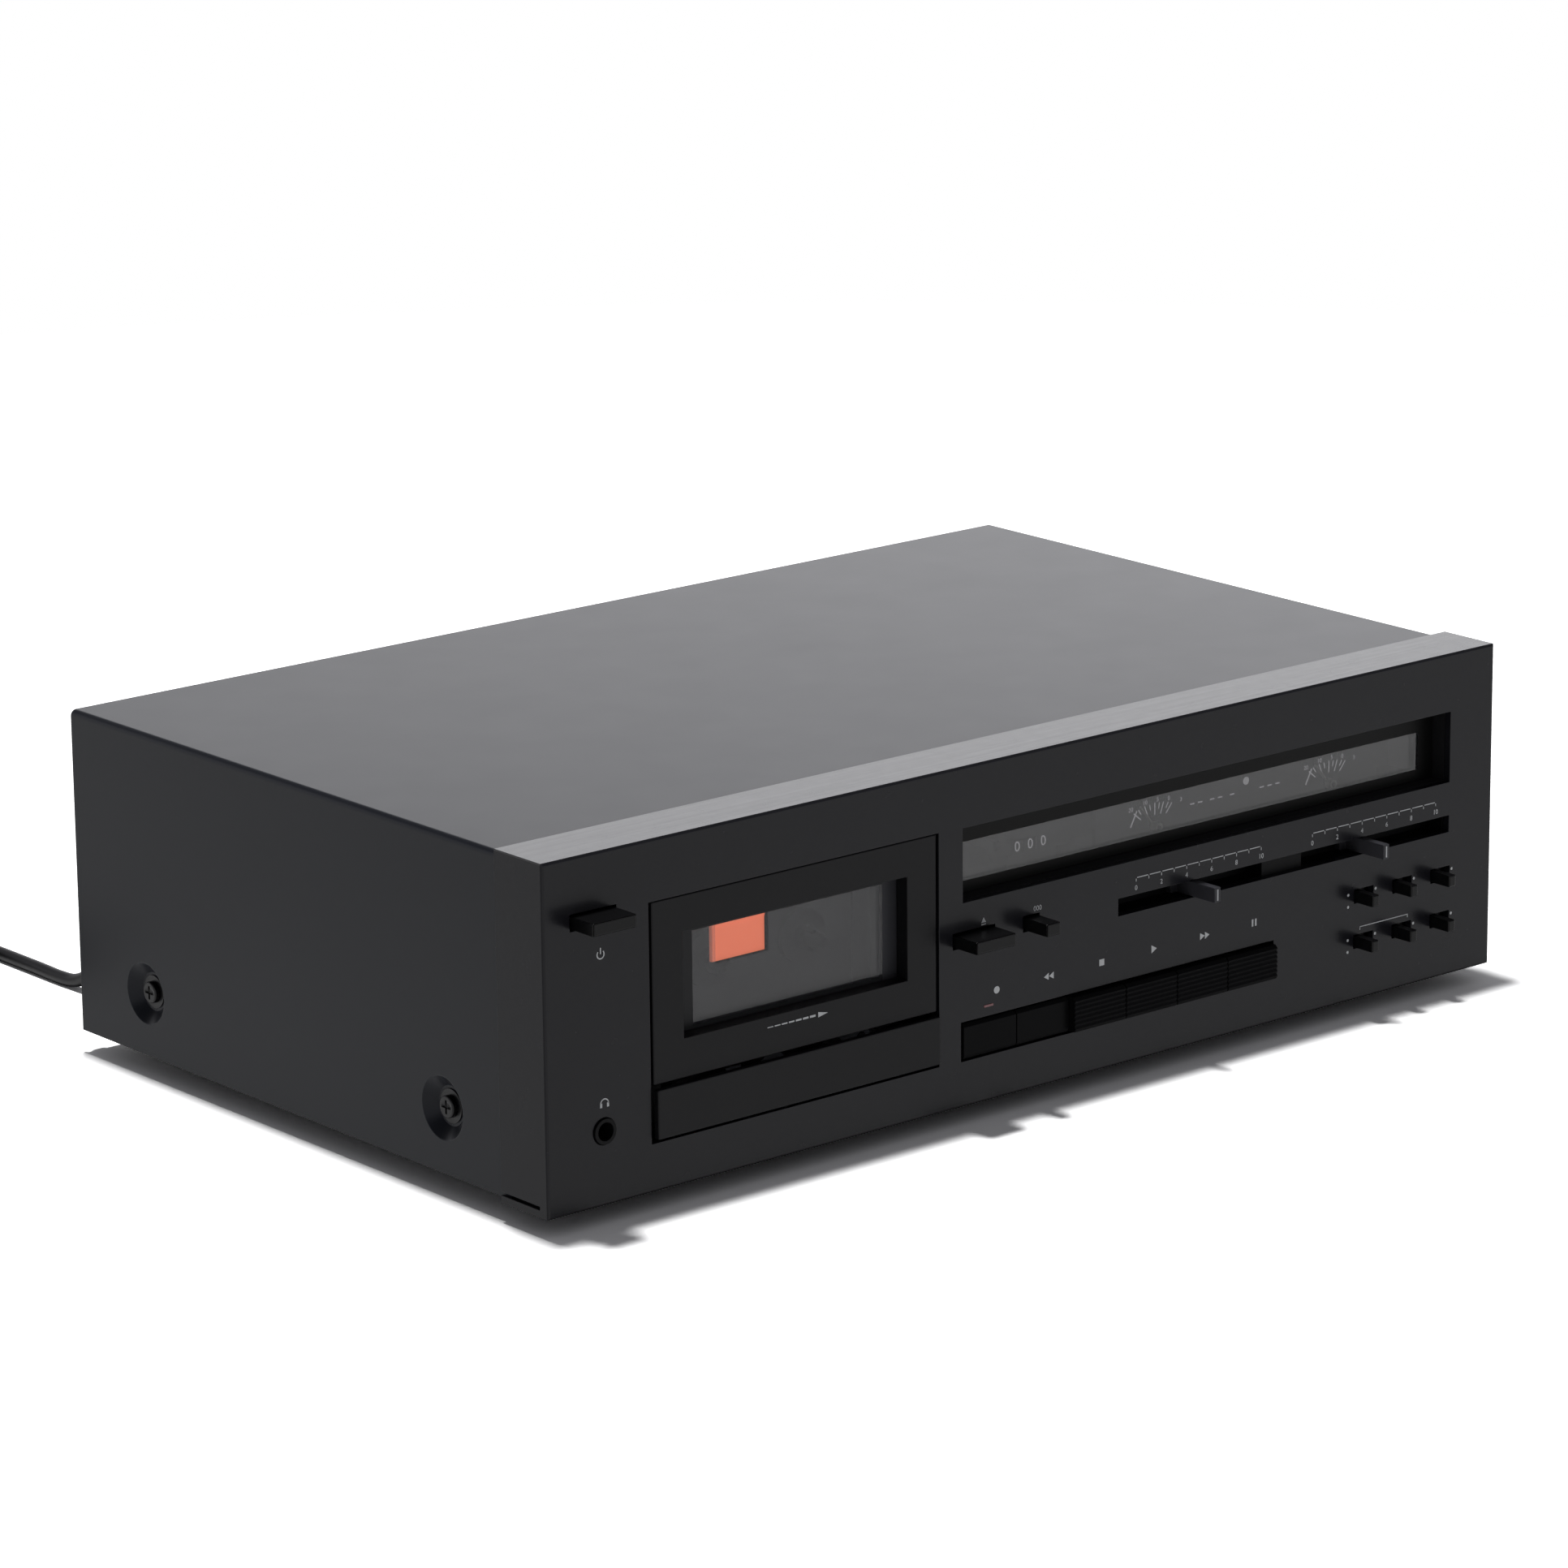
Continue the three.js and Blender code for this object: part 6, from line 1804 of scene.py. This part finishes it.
@dataclass
class PanelPrint:
    """The signs, scales, dots and lines printed on the front panel, none of them a word."""

    sign_rise_mm: float = 40.2
    sign_size_mm: float = 1.5
    sign_shift_mm: float = 3.4
    scale_rise_mm: float = 68.5
    number_rise_mm: float = 64.7
    scale_runs_mm: tuple[Sizes, ...] = ((268.0, 330.0), (356.0, 420.0))
    power_place_mm: Sizes = (24.1, 88.6)
    phones_place_mm: Sizes = (24.7, 36.2)
    eject_place_mm: Sizes = (195.0, 66.6)
    counter_place_mm: Sizes = (220.5, 66.4)
    lamp_place_mm: Sizes = (197.2, 35.3)
    lamp_half_mm: Sizes = (2.2, 0.3, 0.45)
    lamp_edge_mm: float = 0.2
    sign_line_mm: float = 0.42
    line_mm: float = 0.32
    figure_height_mm: float = 1.9
    dot_radius_mm: float = 0.55
    dot_corners: int = 16
    right_dot_mm: Sizes = (9.0, 1.2)
    left_dots_mm: tuple[Sizes, ...] = ((-5.2, 1.2), (-5.2, -3.4))
    joining_line_mm: Sizes = (393.6, 27.9, 25.0)
    joining_ends_mm: Sizes = (381.2, 406.0)
    joining_end_mm: Sizes = (27.3, 1.2)
    marks: list[Piece] = field(default_factory=list)

    def build(self) -> None:
        """Prints everything as one thin piece, and builds the record lamp."""
        self.print_power(*self.power_place_mm)
        self.print_phones(*self.phones_place_mm)
        self.print_eject(*self.eject_place_mm)
        self.figures("000", *self.counter_place_mm)
        self.print_transport()
        for left, right in self.scale_runs_mm:
            self.print_scale(left, right)
        self.print_switch_marks()
        ink = self.marks[0].joined(self.marks[1:])
        ink.thing.name = "panel_print"
        ink.thickened(INK_THICKNESS).dressed(INK_FINISH, "deck")
        place = on_front(*self.lamp_place_mm)
        half = Vector(self.lamp_half_mm) * MM
        lamp = Piece.block("record_lamp", place - half, place + half)
        lamp.rounded(self.lamp_edge_mm * MM).dressed(RED_LAMP_FINISH, "deck")

    def add(self, piece: Piece) -> None:
        """Adds a flat mark to the print."""
        self.marks.append(piece)

    def figures(self, text: str, x: float, z: float) -> None:
        """Prints figures about a place in mm."""
        place = on_front(x, z)
        self.add(Piece.lettering("mark", text, self.figure_height_mm * MM, place))

    def bar(self, x: float, z: float, width: float, height: float) -> None:
        """Prints an oblong.

        Args:
            x: Its middle, in mm.
            z: Its middle's height, in mm.
            width: Its width, in mm.
            height: Its height, in mm.
        """
        self.add(Piece.sheet("mark", on_front(x, z), width * MM, height * MM))

    def dot(self, x: float, z: float, radius: float) -> None:
        """Prints a dot of a radius in mm."""
        self.add(Piece.flat("mark", on_front(x, z), radius * MM, self.dot_corners))

    def triangle(self, x: float, z: float, size: float, turn: float) -> None:
        """Prints a triangle.

        Args:
            x: Its middle, in mm.
            z: Its middle's height, in mm.
            size: Half its width and height, in mm.
            turn: Its turn in the panel's plane, in radians; 0 points up.
        """
        self.add(Piece.flat("mark", on_front(x, z), size * MM, 3, turn))

    def print_power(self, x: float, z: float) -> None:
        """Prints the power sign: a ring broken at its top by a bar.

        Args:
            x: Its middle, in mm.
            z: Its middle's height, in mm.
        """
        radius, width, gap = 1.7, self.sign_line_mm, math.radians(40)
        centre = on_front(x, z)
        ring = Piece.ring("mark", centre, radius * MM, width * MM)

        def near_top(face: bpy.types.MeshPolygon) -> bool:
            """Says whether a face lies in the ring's gap."""
            away = face.center - centre
            return abs(math.atan2(away.x, away.z)) < gap

        self.add(ring.taken_out(near_top))
        self.bar(x, z + radius * 0.75, width, radius * 1.3)

    def print_phones(self, x: float, z: float) -> None:
        """Prints the headphone sign: a hoop with a pad at each end.

        Args:
            x: Its middle, in mm.
            z: Its middle's height, in mm.
        """
        radius, width = 1.9, self.sign_line_mm
        centre = on_front(x, z)
        ring = Piece.ring("mark", centre, radius * MM, width * MM)
        self.add(ring.taken_out(lambda face: face.center.z < centre.z))
        for side in (-1, 1):
            self.bar(x + side * (radius - width), z - 0.5, 0.9, 1.5)

    def print_eject(self, x: float, z: float) -> None:
        """Prints the eject sign: a triangle over a bar."""
        self.triangle(x, z + 0.2, 1.3, 0)
        self.bar(x, z - 1.1, 2.3, 0.5)

    def print_transport(self) -> None:
        """Prints a sign over each transport key."""
        rise, size = self.sign_rise_mm, self.sign_size_mm
        right, left = math.pi / 2, -math.pi / 2
        shift = self.sign_shift_mm
        places = {name: (middle_of(f"key_{name}").x - PANEL[0].x) / MM + shift for name in KEYS}
        self.dot(places["record"], rise, size * 0.9)
        for step in (-0.8, 0.8):
            self.triangle(places["rewind"] + step * size, rise, size, left)
            self.triangle(places["forward"] + step * size, rise, size, right)
            self.bar(places["pause"] + step, rise, size * 0.5, size * 1.8)
        self.bar(places["stop"], rise, size * 1.6, size * 1.6)
        self.triangle(places["play"], rise, size * 1.15, right)

    def print_scale(self, left: float, right: float) -> None:
        """Prints one level scale: a broken line with ticks, and numbers under it.

        Args:
            left: Where it starts, in mm.
            right: Where it ends, in mm.
        """
        steps = 10
        pitch = (right - left) / steps
        for step in range(steps):
            self.bar(left + pitch * (step + 0.5), self.scale_rise_mm, pitch * 0.86, self.line_mm)
        for step in range(steps + 1):
            x = left + pitch * step
            self.bar(x, self.scale_rise_mm - 0.9, 0.28, 1.1)
            if step % 2 == 0:
                self.figures(str(step), x, self.number_rise_mm)

    def print_switch_marks(self) -> None:
        """Prints the dots beside the switches and the line that joins two of them."""
        for number in range(1, 7):
            centre = middle_of(f"mode_switch_{number}")
            x, z = (centre.x - PANEL[0].x) / MM, (centre.z - PANEL[0].z) / MM
            beside = [self.right_dot_mm, *(self.left_dots_mm if number in (1, 4) else ())]
            for across, up in beside:
                self.dot(x + across, z + up, self.dot_radius_mm)
        self.bar(*self.joining_line_mm, self.line_mm)
        rise, height = self.joining_end_mm
        for x in self.joining_ends_mm:
            self.bar(x, rise, self.line_mm, height)


@dataclass
class Mechanism:
    """The transport behind the door, and the boards and transformer under the cover."""

    edge_mm: float = 0.2

    def build(self) -> None:
        """Dresses the mechanism."""
        for side in ("supply", "takeup"):
            node = f"{side}_spindle"
            hub = Piece.from_node(f"{side}_hub", node).smoothed(MOULDED_EDGE)
            hub.dressed(TRIM_FINISH, node, "trim", node)
        for name, node, body, look in (
            ("capstan_wheel", "capstan_flywheel", "capstan_flywheel", (TURNED_FINISH, "turned")),
            ("pulley_wheel", "motor_pulley", "motor_pulley", (BRASS_FINISH, "brass")),
            ("motor_can", "capstan_motor", "deck", (CHASSIS_FINISH, "steel")),
        ):
            soften(name, node, look, body, self.edge_mm * MM, 2, TURNED_EDGE)
        for node, finish in {
            "transport_plate": BLACK_SHEET_FINISH,
            "drive_belt": RUBBER_FINISH,
            "pinch_arm": LAMINATE_FINISH,
            "pinch_roller": RUBBER_FINISH,
            "head_bridge": LAMINATE_FINISH,
            "control_board": TRIM_FINISH,
            "main_board": BOARD_FINISH,
            "power_transformer": LAMINATE_FINISH,
            "line_sockets": SOCKET_FINISH,
        }.items():
            dress_node(node, finish)


def main() -> None:
    """Builds the studio, then the deck from its lead inwards."""
    logging.basicConfig(level=logging.INFO, format="%(message)s")
    Studio().build()
    MainsLead().build()
    for assembly in (Casework(), CassetteDoor(), Display(), Controls(), PanelPrint(), Mechanism()):
        log.info("%s", type(assembly).__name__)
        assembly.build()


if __name__ == "__main__":
    main()
